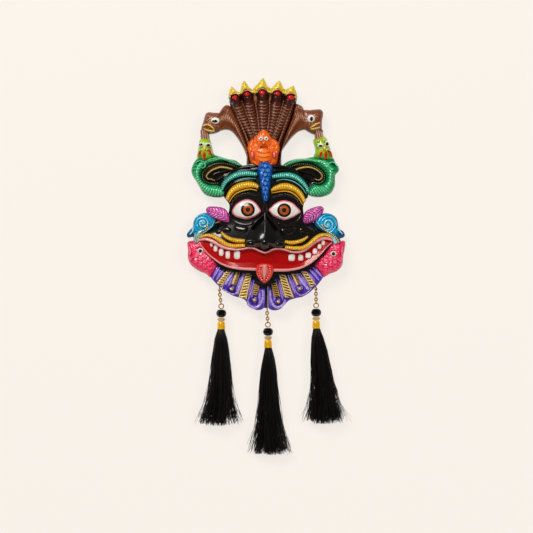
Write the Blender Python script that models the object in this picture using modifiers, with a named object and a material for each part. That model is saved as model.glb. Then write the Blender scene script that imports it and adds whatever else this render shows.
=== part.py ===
"""Kirtimukha wall hanging: a moulded, painted demon face that hangs flat on a wall, with three tassels on
short chains below it. Metres, +Z up, the face towards -Y and the flat back on the plane y = 0.

The plaque is a free form, so it is laid out on a drawing whose units are shares of the plaque's own
height: u runs to the right, v runs down, and h is the height in front of the wall. The chains and tassels
have real sizes."""

import math

import bmesh
import bpy
import numpy as np
from mathutils import Matrix, Vector

# Driving sizes of the plaque, and the gap between pieces that touch
MASK_HEIGHT = 0.2556
MASK_DEPTH = 0.0396
GAP = 0.0003

# Driving sizes of the chains
WIRE = 0.0009
EYELET_DIAMETER = 0.0035
SHANK_LENGTH = 0.0045
GROOVE_LENGTH = 0.0130
LINK_LENGTH = 0.0051
LINK_WIDTH = 0.0042
RING_DIAMETER = 0.0064

# Driving sizes of the tassels
BEAD_DIAMETER = 0.0106
BEAD_HEIGHT = 0.0088
SPACER_DIAMETER = 0.0088
SPACER_HEIGHT = 0.0039
CAP_DIAMETER = 0.0080
CAP_HEIGHT = 0.0086
CAP_WALL = 0.0006
SKIRT_WIDTH = 0.0395
SKIRT_THICKNESS = 0.0140
WALL_CLEARANCE = 0.0010
SIDE_SKIRT_LENGTH = 0.1030
CENTRE_SKIRT_LENGTH = 0.1150

# The drawing: its size in units, the point that lies on the origin, and the shallow rim of the plaque
DRAWING_HEIGHT = 232.4
DRAWING_DEPTH = 36.0
HANGING_POINT = (265.5, 150.0)
UNIT = MASK_HEIGHT / DRAWING_HEIGHT
DEPTH_UNIT = MASK_DEPTH / DRAWING_DEPTH
RIM = 9.0
BEHIND_WALL = -2.0

# Where the chains leave the collar on the drawing, and how far each chain and tassel hangs out of plumb
TASSELS = {
    "left": {"at": (219.3, 290.0), "links": 5, "drift": 0.0020, "lean": -0.0030},
    "centre": {"at": (267.0, 311.2), "links": 4, "drift": 0.0010, "lean": 0.0030},
    "right": {"at": (316.0, 289.2), "links": 5, "drift": 0.0002, "lean": 0.0090},
}
TASSEL_STANDOFF = SKIRT_THICKNESS / 2 + WALL_CLEARANCE

ENAMELS = {
    "black": (0.006, 0.006, 0.006),
    "brown": (0.115, 0.026, 0.007),
    "yellow": (0.83, 0.60, 0.022),
    "orange": (0.87, 0.115, 0.010),
    "lime": (0.36, 0.58, 0.012),
    "green": (0.007, 0.30, 0.090),
    "teal": (0.013, 0.30, 0.22),
    "gold": (0.75, 0.38, 0.010),
    "blue": (0.007, 0.090, 0.51),
    "sky": (0.007, 0.35, 0.60),
    "magenta": (0.60, 0.062, 0.37),
    "pink": (0.87, 0.047, 0.155),
    "red": (0.51, 0.004, 0.004),
    "white": (0.80, 0.80, 0.78),
    "violet": (0.115, 0.045, 0.45),
}


def material(name, colour, roughness, metallic=0.0):
    made = bpy.data.materials.get(name) or bpy.data.materials.new(name)
    made.use_nodes = True
    shader = made.node_tree.nodes["Principled BSDF"]
    shader.inputs["Base Color"].default_value = (*colour, 1.0)
    shader.inputs["Roughness"].default_value = roughness
    shader.inputs["Metallic"].default_value = metallic
    return made


def collection(name):
    made = bpy.data.collections.new(name)
    bpy.context.scene.collection.children.link(made)
    return made


def add(name, mould, into, finish, guide=False):
    """Turns a bmesh into an object. A guide only shapes another object and isn't a piece of its own."""
    mesh = bpy.data.meshes.new(name)
    mould.to_mesh(mesh)
    mould.free()
    mesh.materials.append(finish)
    mesh.shade_smooth()
    mesh.set_sharp_from_angle(angle=math.radians(40))
    made = bpy.data.objects.new(name, mesh)
    into.objects.link(made)
    if guide:
        made.hide_render = True
        made.display_type = "WIRE"
    return made


def loft(mould, rows, capped=True):
    """Faces between rows of vertices, each row a closed section."""
    for row, following in zip(rows, rows[1:]):
        for k in range(len(row)):
            n = (k + 1) % len(row)
            mould.faces.new((row[k], row[n], following[n], following[k]))
    if capped:
        mould.faces.new(rows[0])
        mould.faces.new(rows[-1])


def place(u, v, h):
    """A point of the drawing in metres, h in front of the wall."""
    right, down = HANGING_POINT
    return Vector(((u - right) * UNIT, -h * DEPTH_UNIT, (down - v) * UNIT))


def smooth(points, count, loop=False):
    """A Catmull-Rom curve through the points, cut into count points that are evenly spaced."""
    line = np.array(points, dtype=float)
    if loop:
        line = np.vstack([line[-1], line, line[0], line[1]])
    else:
        line = np.vstack([2 * line[0] - line[1], line, 2 * line[-1] - line[-2]])
    t = np.linspace(0.0, 1.0, 8, endpoint=False)[:, None]
    runs = []
    for a, b, c, d in zip(line, line[1:], line[2:], line[3:]):
        bend = (2 * a - 5 * b + 4 * c - d) * t**2 + (3 * b - a - 3 * c + d) * t**3
        runs.append(0.5 * (2 * b + (c - a) * t + bend))
    line = np.vstack([*runs, line[-2:-1]])
    along = np.append(0.0, np.cumsum(np.hypot(*np.diff(line, axis=0).T)))
    stops = np.linspace(0.0, along[-1], count, endpoint=not loop)
    return np.column_stack([np.interp(stops, along, line[:, 0]), np.interp(stops, along, line[:, 1])])


def bulge(u, v, centre, radii, rise):
    inside = 1 - ((u - centre[0]) / radii[0]) ** 2 - ((v - centre[1]) / radii[1]) ** 2
    return rise * math.sqrt(max(inside, 0.0))


def face_height(u, v):
    """The face is a skull dome and a wider muzzle dome, blended by the sum of their cubes."""
    skull = bulge(u, v, (265.5, 215.0), (48.0, 62.0), 12.0)
    muzzle = bulge(u, v, (265.5, 252.0), (74.0, 34.0), 13.0)
    return RIM + (skull**3 + muzzle**3) ** (1 / 3)


def wall(u, v):
    return 0.0


class Relief:
    """Carves the plaque's forms into a collection. Each is a closed body that starts behind the wall plane,
    every one a little further back than the last, so that no two share a plane when they are joined."""

    def __init__(self, into):
        self.into = into
        self.made = 0

    def keep(self, name, mould, enamel):
        bmesh.ops.triangulate(mould, faces=mould.faces[:])
        bmesh.ops.recalc_face_normals(mould, faces=mould.faces[:])
        self.made += 1
        return add(name, mould, self.into, material(f"{enamel} enamel", ENAMELS[enamel], 0.15), guide=True)

    def back(self):
        return BEHIND_WALL - 0.013 * self.made

    def ridge(self, name, enamel, edges, side, crown, sections=0, ribs=0.0, ground=wall, floor=None):
        """A ridge lofted between two edges, at the height side along both and arched to crown between them.
        Ribs lower every second section. Without a floor it starts behind the wall."""
        if sections:
            edges = [smooth(edge, sections) for edge in edges]
        mould = bmesh.new()
        rows = []
        for i, (a, b) in enumerate(zip(*np.array(edges, dtype=float))):
            middle = (a + b) / 2
            foot = [self.back() if floor is None else ground(*end) + floor for end in (a, b)]
            section = [
                (*a, foot[0]),
                (*a, ground(*a) + side),
                (*middle, ground(*middle) + crown - ribs * (i % 2)),
                (*b, ground(*b) + side),
                (*b, foot[1]),
            ]
            rows.append([mould.verts.new(place(*point)) for point in section])
        loft(mould, rows)
        return self.keep(name, mould, enamel)

    def stroke(self, name, enamel, path, widths, side, crown, sections, ribs=0.0, ground=wall):
        """A ridge along a path, whose widths are spread evenly along it."""
        line = smooth(path, sections)
        stops = np.linspace(0, 1, len(widths))
        half = np.interp(np.linspace(0, 1, sections), stops, widths) / 2
        along = np.gradient(line, axis=0)
        across = np.column_stack([along[:, 1], -along[:, 0]]) / np.hypot(*along.T)[:, None]
        edges = [line - across * half[:, None], line + across * half[:, None]]
        return self.ridge(name, enamel, edges, side, crown, 0, ribs, ground)

    def pad(self, name, enamel, outline, centre, side, crown, ground=wall, rings=(0.7,), points=0):
        """A cushion inside an outline: its rings shrink towards the centre, and rise from side to crown
        along a quarter circle."""
        rim = smooth(outline, points, loop=True) if points else np.array(outline, dtype=float)
        middle = np.array(centre, dtype=float)
        mould = bmesh.new()
        rows = [[mould.verts.new(place(*point, self.back())) for point in rim]]
        for share in (1.0, *rings):
            rise = side + (crown - side) * math.sqrt(1 - share**2)
            ring = middle + (rim - middle) * share
            rows.append([mould.verts.new(place(*point, ground(*point) + rise)) for point in ring])
        loft(mould, rows, capped=False)
        mould.faces.new(rows[0])
        peak = mould.verts.new(place(*middle, ground(*middle) + crown))
        for k, corner in enumerate(rows[-1]):
            mould.faces.new((corner, rows[-1][(k + 1) % len(rim)], peak))
        return self.keep(name, mould, enamel)

    def dome(self, name, enamel, centre, radii, h, rise, sides=6, rows=3):
        """A ball pressed flat, its middle at height h and its crown rise above that."""
        mould = bmesh.new()
        bmesh.ops.create_uvsphere(mould, u_segments=sides, v_segments=rows, radius=1.0)
        pole_forward = Matrix.Rotation(math.radians(90), 4, "X")
        size = Matrix.Diagonal((radii[0] * UNIT, rise * DEPTH_UNIT, radii[1] * UNIT, 1.0))
        bmesh.ops.transform(mould, matrix=size @ pole_forward, verts=mould.verts)
        bmesh.ops.translate(mould, vec=place(*centre, h), verts=mould.verts)
        return self.keep(name, mould, enamel)


def carve_crest(relief):
    """The fan of snakes: five ribbed necks under a scalloped crown."""
    left_side = [(231, 99), (238, 120), (245, 142), (248, 168)]
    right_side = [(294.5, 99), (289, 120), (283, 142), (279, 168)]
    relief.ridge("crest back", "brown", (left_side, right_side), RIM, RIM + 0.5, sections=3)
    necks = [
        ([(235.3, 97), (239, 110), (246, 124), (252, 137), (256, 150)], (11, 11, 9, 8, 6)),
        ([(247.6, 95), (250, 110), (254, 125), (257.5, 138), (260, 150)], (11.5, 11.5, 9.5, 8, 6)),
        ([(262.8, 94), (263, 110), (263.3, 125), (263.8, 140)], (13, 12, 10.5, 9)),
        ([(277, 95), (275.5, 110), (272.8, 125), (270, 138), (268, 150)], (11.5, 11.5, 9.5, 8, 6)),
        ([(290, 98), (286, 111), (280, 125), (275, 138), (272, 150)], (11.5, 11, 9.5, 8, 6)),
    ]
    for number, (path, widths) in enumerate(necks, 1):
        relief.stroke(f"neck {number}", "brown", path, widths, 11.5, 16.5, sections=6, ribs=1.8)
    scallops = [
        (228.8, 93), (231.5, 87), (235.5, 89.3), (239.5, 91.2), (242, 83), (244.2, 80.8), (247, 83.8),
        (250.5, 88), (254, 88.5), (257, 84.5), (263, 78.3), (267.2, 85.5), (270.3, 88.3), (274.5, 85.5),
        (279.5, 81), (283.3, 88), (287, 89.3), (293.3, 86), (296.8, 94.5),
    ]
    hoods = [
        (228.8, 98), (231.5, 97), (235.5, 96), (239.3, 95), (242.5, 94), (245, 93), (247.4, 93.2),
        (250.5, 93.7), (253.8, 94), (257.2, 92.5), (263, 91), (267.4, 92), (270.3, 94), (274.7, 92.7),
        (279, 92.5), (283.4, 94.5), (287, 95), (292.8, 96), (295.6, 99),
    ]
    relief.ridge("crown", "yellow", (scallops, hoods), 13.0, 16.5)
    gems = [(235, 97.5, 3.0), (246.7, 94.2, 2.9), (262.3, 92.9, 3.5), (277.5, 93.6, 3.0), (290.7, 97.4, 3.4)]
    for number, (u, v, radius) in enumerate(gems, 1):
        relief.dome(f"crest gem {number}", "red", (u, v), (radius, radius * 0.85), 15.0, 4.0)


def carve_side_snakes(relief):
    """A snake reaches out of the fan to each side. Its ribbed body joins a head that looks outwards."""
    left_top = [
        (249, 167), (248.5, 150), (243.5, 136), (237, 122), (231, 111), (228.5, 104.3), (224.5, 106),
        (222, 110), (219.5, 113.6),
    ]
    left_underside = [
        (247, 163.5), (246, 156.5), (243.5, 149), (239.5, 141.5), (235, 135), (231, 131.3), (226.5, 130),
        (222.5, 130.4), (218, 131.8),
    ]
    relief.ridge("left snake body", "brown", (left_top, left_underside), 8.0, 15.0, sections=9, ribs=1.4)
    right_top = [
        (279, 168), (281.2, 152), (284, 140), (289, 126), (293, 114), (295.4, 104.3), (299.5, 104.8),
        (302.6, 106.8), (303.3, 110.6),
    ]
    right_underside = [
        (281.6, 163.5), (281, 156), (282.8, 150), (286.5, 145), (291.5, 138.5), (297, 133), (300.5, 130.8),
        (304.5, 130), (308, 131.5),
    ]
    relief.ridge("right snake body", "brown", (right_top, right_underside), 8.0, 15.0, sections=9, ribs=1.4)
    left_head = [
        (221, 113.4), (213, 112.6), (208, 112), (205, 115), (203.4, 121), (201.5, 127), (202, 132.5),
        (209, 133.5), (216, 132.6), (222, 128), (224, 119),
    ]
    right_head = [
        (302, 110.6), (310, 110), (320.5, 109.3), (322.7, 113), (322, 123), (322, 133.5), (314, 134),
        (308.3, 131.5), (302, 125), (300, 117),
    ]
    relief.pad("left snake head", "brown", left_head, (212.5, 121.5), 8.5, 17.0)
    relief.pad("right snake head", "brown", right_head, (312, 120.5), 8.5, 17.0)
    relief.stroke("left stalk", "brown", [(205.3, 128), (205.2, 139)], (9.5, 9.5), 8.0, 13.0, sections=2)
    relief.stroke("right stalk", "brown", [(318, 129), (319.3, 139)], (8.5, 10), 8.0, 13.0, sections=2)
    relief.dome("left snake eye", "white", (215.3, 121), (4.5, 3.3), 16.0, 3.0)
    relief.dome("right snake eye", "white", (311, 119), (3.9, 3.7), 16.0, 3.0)


def carve_figure(relief):
    """The small seated figure in front of the fan, and the beaded drop that hangs between the brows."""
    body = [
        (264, 129), (257, 133), (252, 138.4), (249, 144), (248.2, 152), (250.3, 160.5), (254, 166),
        (262, 168), (270, 167.5), (275.3, 165.5), (277.6, 158), (278.6, 149), (277, 142), (270.5, 135),
    ]
    relief.pad("figure body", "orange", body, (263.5, 149), 12.0, 18.5)
    relief.dome("figure head", "orange", (263.6, 140.2), (8.6, 8.8), 17.0, 6.0, sides=8, rows=5)
    relief.dome("figure belly", "orange", (263.3, 156.5), (8.6, 7.4), 17.0, 5.0, sides=8, rows=5)
    left_arm = [(253.5, 141), (250.8, 149), (253.5, 158)]
    right_arm = [(271.5, 141), (275.6, 150), (272.8, 158)]
    relief.stroke("figure left arm", "orange", left_arm, (4.2, 4.2), 14.0, 19.5, sections=3)
    relief.stroke("figure right arm", "orange", right_arm, (4.2, 4.2), 14.0, 19.5, sections=3)
    drop = [(265.2, 162.6), (265.2, 175), (265.4, 188), (265.6, 201.4)]
    drop_widths = (7, 14.5, 15.5, 12, 11, 10.5, 9.5, 8.4, 7.4, 6.8, 6.4, 4)
    relief.stroke("forehead drop", "blue", drop, drop_widths, 17.0, 26.0, sections=10, ribs=1.8)


def carve_arms(relief):
    """The green arms curl round a black ear on each side and carry a lime bird's head."""
    left_outer = [
        (242.5, 165), (235, 160), (228, 158.8), (220, 156.5), (210, 154), (198.5, 157), (194, 162.5),
        (191.4, 170), (193.5, 177.5), (198.5, 184.5), (202, 192), (209, 196.4), (216, 197.3), (223.5, 197),
    ]
    left_inner = [
        (242, 166.3), (237, 166.3), (232, 164.2), (226, 162.3), (220, 162), (213, 163.4), (207.5, 166.3),
        (203, 169.8), (201.3, 174), (202.3, 179), (205.5, 182.3), (210.5, 184.3), (216, 184.3), (222, 187.5),
    ]
    relief.ridge("left arm", "green", (left_outer, left_inner), 8.0, 15.0, sections=13, ribs=1.6)
    right_outer = [
        (281.5, 166.5), (288, 161.5), (296, 158.8), (304, 158.3), (314, 155.5), (326, 153.5), (333, 158.2),
        (337.5, 164.5), (339, 170), (336, 175), (335, 183), (331.5, 191.5), (324, 196.2), (316, 197),
        (309.5, 195.5),
    ]
    right_inner = [
        (282.5, 168), (288, 167.3), (294, 164.7), (299.5, 163), (306, 163), (312.5, 164.3), (319, 167.3),
        (323.8, 171.3), (325.8, 175.8), (325, 180), (322, 183.3), (318, 184.4), (314, 183.6), (310, 187),
        (308.5, 190),
    ]
    relief.ridge("right arm", "green", (right_outer, right_inner), 8.0, 15.0, sections=13, ribs=1.6)
    left_ear = [
        (238, 168), (230, 164.5), (222, 162.6), (212.5, 164.3), (204, 169), (201, 176), (203, 181),
        (209, 185), (217, 185), (224, 187), (230, 178),
    ]
    right_ear = [
        (286, 168.5), (292, 165.5), (299, 163), (306, 162.8), (313, 164.3), (323, 170), (326.3, 177),
        (323.5, 182.5), (317, 185), (309, 191), (302, 181), (295, 174),
    ]
    relief.pad("left ear", "black", left_ear, (217, 174), 8.5, 10.5, rings=())
    relief.pad("right ear", "black", right_ear, (312, 174), 8.5, 10.5, rings=())
    left_curl = [(231, 169.3), (221, 167.3), (211.5, 170.6), (206.8, 176), (214, 180)]
    right_curl = [(297.5, 169.3), (308, 167.2), (318, 170.8), (321.5, 176.5), (316, 179)]
    relief.stroke("left ear curl", "gold", left_curl, (1.4, 2.4, 1.4), 9.0, 13.0, sections=5)
    relief.stroke("right ear curl", "gold", right_curl, (1.4, 2.4, 1.4), 9.0, 13.0, sections=5)
    left_bird = [
        (205, 137.3), (201, 138.8), (198.6, 145), (197.6, 156.5), (203, 160.3), (208.5, 158.5),
        (214, 155.8), (211.6, 146.5), (210.4, 140.5),
    ]
    right_bird = [
        (320.5, 136), (325, 137.4), (328, 141.5), (330, 149), (332.4, 157.5), (326, 160), (319.5, 158),
        (313.6, 157), (314.8, 150), (313.5, 140.5),
    ]
    relief.pad("left bird head", "lime", left_bird, (205.3, 149), 8.5, 18.0)
    relief.pad("right bird head", "lime", right_bird, (321.8, 149), 8.5, 18.0)
    eyes = [(201.9, 145, 2.7, 2.0), (208.1, 145, 2.8, 2.1), (320.3, 146, 3.0, 2.3), (326.8, 144.2, 2.3, 2.9)]
    for number, (u, v, wide, high) in enumerate(eyes, 1):
        relief.dome(f"bird eye {number}", "white", (u, v), (wide, high), 16.0, 4.0)


def carve_brows_and_eyes(relief):
    """Arched brows over round staring eyes with raised rims."""
    left_fold = [(257.5, 175), (244, 173.8), (231, 177.5), (222.5, 187.5)]
    right_fold = [(272, 177.3), (285, 175.5), (298, 178.6), (308, 191)]
    for name, path in [("left outer brow", left_fold), ("right outer brow", right_fold)]:
        relief.stroke(name, "teal", path, (4, 5, 5.2, 3.4), 1.5, 4.4, sections=5, ground=face_height)
    left_top = [(225.5, 198.5), (228.5, 191.5), (235, 185.2), (244, 182), (252, 182), (259.7, 186)]
    left_foot = [(228.6, 202), (231.5, 197), (238, 191.8), (246, 189.3), (252, 189.2), (257.6, 190.8)]
    right_top = [(270.4, 190), (277, 185), (286, 183.2), (294, 185.7), (301, 191.4), (306, 200)]
    right_foot = [(271.2, 193), (278, 191.3), (286, 190.8), (293, 193), (299, 198), (303.4, 204)]
    for name, edges in [("left brow", (left_top, left_foot)), ("right brow", (right_top, right_foot))]:
        relief.ridge(name, "gold", edges, 2.0, 5.8, sections=7, ground=face_height)
    left_rim = [
        (232, 211.5), (236, 204.3), (241.5, 200.3), (248, 199), (254.5, 202), (261, 210.8), (255, 217.3),
        (247, 219.7), (238.5, 217.8),
    ]
    right_rim = [
        (268.7, 210.5), (274, 204), (279, 201), (285, 200.3), (292, 203), (300.4, 211.5), (294, 217.3),
        (284.5, 220.6), (275, 217.5),
    ]
    eyes = [
        ("left", (246.9, 209.4), left_rim, (12.0, 7.8)),
        ("right", (284.4, 210.4), right_rim, (13.3, 7.8)),
    ]
    for name, centre, rim, ball in eyes:
        relief.pad(f"{name} eye rim", "pink", rim, centre, 2.2, 2.2, ground=face_height, rings=(), points=10)
        height = face_height(*centre)
        relief.dome(f"{name} eyeball", "white", centre, ball, height, 5.4, sides=10, rows=6)


def carve_nose(relief):
    """A broad nose with flared wings, and the gold whisker bands that sweep out from it."""
    nose = [
        (265, 203), (261.5, 213), (256.5, 222), (250, 229), (245.6, 237), (245.4, 244), (250, 248.2),
        (258, 248.6), (265, 251.2), (272, 248.8), (279, 248.6), (284.6, 245), (284.2, 238), (279.4, 229.6),
        (273.6, 222), (268.5, 213),
    ]
    relief.pad("nose", "black", nose, (265.2, 237), -3.0, 11.5, ground=face_height, rings=(0.78, 0.42))
    balls = [
        ("left nostril wing", (252.3, 242.3), (6.2, 4.6), 0.0, 9.5),
        ("right nostril wing", (278, 243.3), (6.4, 4.6), 0.0, 9.5),
        ("nose tip", (265.2, 242.5), (6.6, 6.4), 3.0, 9.2),
    ]
    for name, centre, radii, lift, rise in balls:
        relief.dome(name, "black", centre, radii, face_height(*centre) + lift, rise, sides=9, rows=5)
    left_upper = [(221.8, 233), (226, 237.3), (234, 240.2), (245, 241.3)]
    left_lower = [(199.5, 237), (208, 235.2), (216.5, 237.6), (224.5, 243.6), (233, 246), (245.6, 245.4)]
    right_upper = [(284.6, 241.9), (292, 243), (300, 241.2), (308.2, 237)]
    right_lower = [(284.6, 247.2), (294, 248.4), (303.5, 247.6), (311.5, 242), (319.5, 236.2), (332.5, 238.5)]
    bands = [(left_upper, 4), (left_lower, 7), (right_upper, 4), (right_lower, 7)]
    for number, (path, sections) in enumerate(bands, 1):
        widths = (2.2, 3.2, 3.2, 2.2)
        relief.stroke(f"whisker band {number}", "gold", path, widths, 1.6, 4.6, sections, ground=face_height)


UPPER_LIP = [
    (199, 240.3), (206, 239), (213, 241.3), (220, 245.7), (228, 248.6), (238, 249.3), (248, 248),
    (256, 249.2), (264.5, 252.6), (272, 250.3), (279, 248.8), (288, 251), (297, 252.2), (306, 249),
    (314, 242.3), (322, 238.2), (332.5, 240.8),
]
LOWER_LIP = [
    (201, 246), (207, 252.6), (214, 258.6), (222, 263.8), (231, 267), (242, 268.5), (254, 269),
    (264.5, 269.4), (275, 269.8), (286, 269.9), (297, 268.2), (306, 265), (314, 260), (321, 254), (331, 244),
]


def carve_mouth_hollow(relief):
    """The grinning mouth, sunk behind the lips."""
    lip = 0.8
    top = [(u, v + lip) for u, v in UPPER_LIP[1:-1]]
    foot = [(u, v - lip) for u, v in LOWER_LIP[1:-1]]
    edges = (top, foot)
    relief.ridge("mouth hollow", "red", edges, 8.0, 9.0, sections=11, ground=face_height, floor=-5.5)


def carve_mouth(relief):
    """Lips, teeth, and the tongue that hangs over the chin."""
    widths = (2.2, 2.6, 2.2)
    relief.stroke("upper lip", "pink", UPPER_LIP, widths, 1.4, 3.8, sections=11, ground=face_height)
    relief.stroke("lower lip", "pink", LOWER_LIP, widths, 1.2, 3.0, sections=8, ground=face_height)
    teeth = [
        (211.7, 244.8, 2.8, 4.8), (215.8, 248.5, 4.0, 6.2), (221.3, 252.3, 4.4, 7.2),
        (227.9, 254.8, 4.6, 7.8), (237.1, 255, 6.3, 8.2), (291.6, 257.7, 6.8, 6.8),
        (300.5, 257.7, 5.2, 6.2), (308, 255.4, 5.6, 6.0), (314.7, 251.3, 4.8, 5.8),
        (319.3, 246.6, 3.8, 5.4), (323, 242.9, 3.6, 5.0),
    ]
    for number, (u, v, wide, high) in enumerate(teeth, 1):
        left, right = u - wide * 0.44, u + wide * 0.44
        above, below = v - high * 0.44, v + high * 0.44
        corners = [(left, above), (right, above), (right, below), (left, below)]
        relief.pad(f"tooth {number}", "white", corners, (u, v), -2.6, 0.6, ground=face_height, rings=())
    tongue = [
        (264.4, 263.4), (259, 265.2), (256.4, 270), (257.3, 276), (260.3, 280.5), (264, 282.9),
        (268.4, 280.5), (272, 275.6), (273.2, 269.8), (270, 265.3),
    ]
    relief.pad("tongue", "red", tongue, (264.5, 272), 2.0, 7.5, ground=face_height, rings=(0.65,))


def carve_cheeks(relief):
    """A leaf, a curled shell and a fish stand beside the face on each side."""
    left_leaf = [
        (206.6, 211.9), (207.3, 207), (213.3, 206.5), (220, 207.3), (226, 210), (228.8, 215.5), (229, 221),
        (221.6, 221.6), (213.7, 218.8),
    ]
    right_leaf = [
        (303, 219.6), (304.3, 213.2), (308.2, 209.7), (314, 207.3), (320.5, 206), (324, 208.5),
        (322, 214.5), (316.5, 220.5), (308.2, 223.7),
    ]
    relief.pad("left leaf", "magenta", left_leaf, (218, 213.8), 8.0, 13.5, rings=(0.65,))
    relief.pad("right leaf", "magenta", right_leaf, (313, 214.6), 8.0, 13.5, rings=(0.65,))
    left_shell = [
        (205, 213), (198, 215.6), (194, 220.6), (192.7, 226.5), (188.5, 230.6), (186.8, 234.2), (188.4, 237),
        (191.6, 236.6), (192.8, 243.2), (199.6, 243.4), (202, 236.6), (208, 232), (213, 227.6),
        (215.8, 222.5), (212, 216.5),
    ]
    right_shell = [
        (323.6, 213.4), (330.6, 214), (336, 217.8), (337.8, 223.1), (338.6, 228.1), (343, 231.2),
        (344.9, 234.6), (343.4, 237.2), (340.6, 241.5), (333.5, 244.8), (330.4, 241), (326, 234.6),
        (320.2, 230.4), (314.2, 225), (317, 217.5),
    ]
    shells = [("left", left_shell, (203, 223), 150, -1), ("right", right_shell, (327.7, 224.4), 30, 1)]
    for name, outline, centre, start, turn in shells:
        relief.pad(f"{name} shell", "sky", outline, centre, 8.0, 12.0, rings=(0.65,))
        spiral = []
        for k in range(13):
            angle = math.radians(start + turn * 42 * k)
            reach = 1.4 + 0.62 * k
            spiral.append((centre[0] + reach * math.cos(angle), centre[1] + reach * math.sin(angle)))
        relief.stroke(f"{name} shell curl", "sky", spiral, (2.4, 3.2, 2), 10.0, 15.0, sections=9)
    left_fish = [
        (188.3, 241.8), (187.6, 249), (188.4, 258), (191, 264.4), (199.5, 270.8), (205.7, 273.4),
        (210.4, 277), (214.2, 272), (218.8, 265.6), (215, 257.3), (210, 250), (205.7, 243), (199.5, 240.4),
    ]
    right_fish = [
        (341, 241.4), (345, 242.2), (344.4, 250), (343, 260), (340.6, 267.4), (336, 271), (329.5, 273.6),
        (323.6, 277), (319, 271.6), (313.6, 265.4), (314.4, 260.8), (322.3, 254), (328.5, 245.7), (333, 243),
    ]
    relief.pad("left fish", "pink", left_fish, (201, 256.5), 8.5, 18.0)
    relief.pad("right fish", "pink", right_fish, (330.5, 258.5), 8.5, 18.0)
    relief.dome("left fish eye", "white", (200.5, 250.9), (3.2, 2.9), 16.5, 4.0)
    relief.dome("right fish eye", "white", (333.2, 253.8), (3.3, 3.0), 16.5, 4.0)


def carve_collar(relief):
    """The violet collar fans out under the chin, with gold bars and ringed studs raised on it."""
    neckline = [
        (218.6, 264.6), (224, 268.4), (232, 271.4), (244, 272.6), (249.5, 272.8), (253.5, 277), (257, 284),
        (261, 288), (265.4, 290), (269.5, 288.3), (273.5, 284.5), (276, 280), (278.5, 274.5), (290, 273.8),
        (302, 271.4), (307, 269.6), (311.5, 267), (318, 266.5),
    ]
    hem = [
        (210.6, 277.4), (216.4, 284.1), (224, 291.9), (237.5, 297.3), (244.5, 299.9), (249.2, 305.5),
        (254.6, 309.9), (260.2, 310), (265.4, 308.8), (270.5, 310.3), (276.4, 310.6), (281, 308.4),
        (285, 304), (295.5, 297.9), (308.5, 293), (313.6, 288.5), (318, 283.8), (323, 277),
    ]
    relief.ridge("collar", "violet", (neckline, hem), 9.2, 12.5)
    bars = [
        ((229, 270), (219.6, 286), 5.4), ((238.4, 271.8), (232.9, 284), 4.6),
        ((249.2, 273.4), (241.8, 298.2), 7.2), ((256.9, 285), (254.9, 295), 6.4),
        ((273.4, 283.6), (277.9, 296), 7.0), ((280.6, 275), (289.8, 297.3), 7.6),
        ((292.2, 273.6), (297.2, 284.2), 5.2), ((303.8, 271.8), (313, 286.3), 7.6),
    ]
    for number, (top, foot, width) in enumerate(bars, 1):
        relief.stroke(f"collar bar {number}", "gold", [top, foot], (width, width), 13.4, 14.6, sections=2)
    studs = [(231.8, 289.3), (254.8, 300.7), (278.5, 302.3), (300.3, 288.3)]
    for number, centre in enumerate(studs, 1):
        relief.dome(f"collar stud {number}", "violet", centre, (4.8, 4.8), 10.5, 5.2, sides=8)


def eyelet_centre(side):
    spot = place(*TASSELS[side]["at"], 0.0)
    return Vector((spot.x, -TASSEL_STANDOFF, spot.z))


def straight_wire(side):
    """How far the eyelet's wire runs up from its loop: the middle one lies in the groove first."""
    return SHANK_LENGTH + (GROOVE_LENGTH if side == "centre" else 0.0)


def add_box(name, low, high, into, finish):
    mould = bmesh.new()
    bmesh.ops.create_cube(mould, size=1.0)
    low, high = Vector(low), Vector(high)
    bmesh.ops.scale(mould, vec=high - low, verts=mould.verts)
    bmesh.ops.translate(mould, vec=(low + high) / 2, verts=mould.verts)
    return add(name, mould, into, finish, guide=True)


def cut_back_and_holes(into, finish):
    """The back is cut flat on the wall plane. The eyelets' wires stand in drilled holes in the collar's edge,
    and the middle one lies in a groove down the collar's front."""
    reach = MASK_HEIGHT
    add_box("wall", (-reach, 0.0, -reach), (reach, MASK_DEPTH, reach), into, finish)
    clear = WIRE / 2 + GAP
    for side in TASSELS:
        centre = eyelet_centre(side)
        mould = bmesh.new()
        depth = straight_wire(side) + GAP
        bmesh.ops.create_cone(mould, cap_ends=True, segments=8, radius1=clear, radius2=clear, depth=depth)
        lift = Vector((0, 0, (EYELET_DIAMETER + depth) / 2))
        bmesh.ops.translate(mould, vec=centre + lift, verts=mould.verts)
        add(f"{side} eyelet hole", mould, into, finish, guide=True)
    centre = eyelet_centre("centre")
    half = EYELET_DIAMETER / 2 + GAP
    low = (centre.x - half, -MASK_DEPTH, centre.z - half)
    high = (centre.x + half, centre.y + half, centre.z + half)
    add_box("loop recess", low, high, into, finish)
    low = (centre.x - 2 * clear, -MASK_DEPTH, centre.z)
    high = (centre.x + 2 * clear, centre.y + clear, centre.z + EYELET_DIAMETER / 2 + GROOVE_LENGTH)
    add_box("groove", low, high, into, finish)


def join(target, operation, others):
    step = target.modifiers.new(others.name, "BOOLEAN")
    step.operation = operation
    step.solver = "EXACT"
    step.operand_type = "COLLECTION"
    step.collection = others
    step.material_mode = "TRANSFER"


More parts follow.
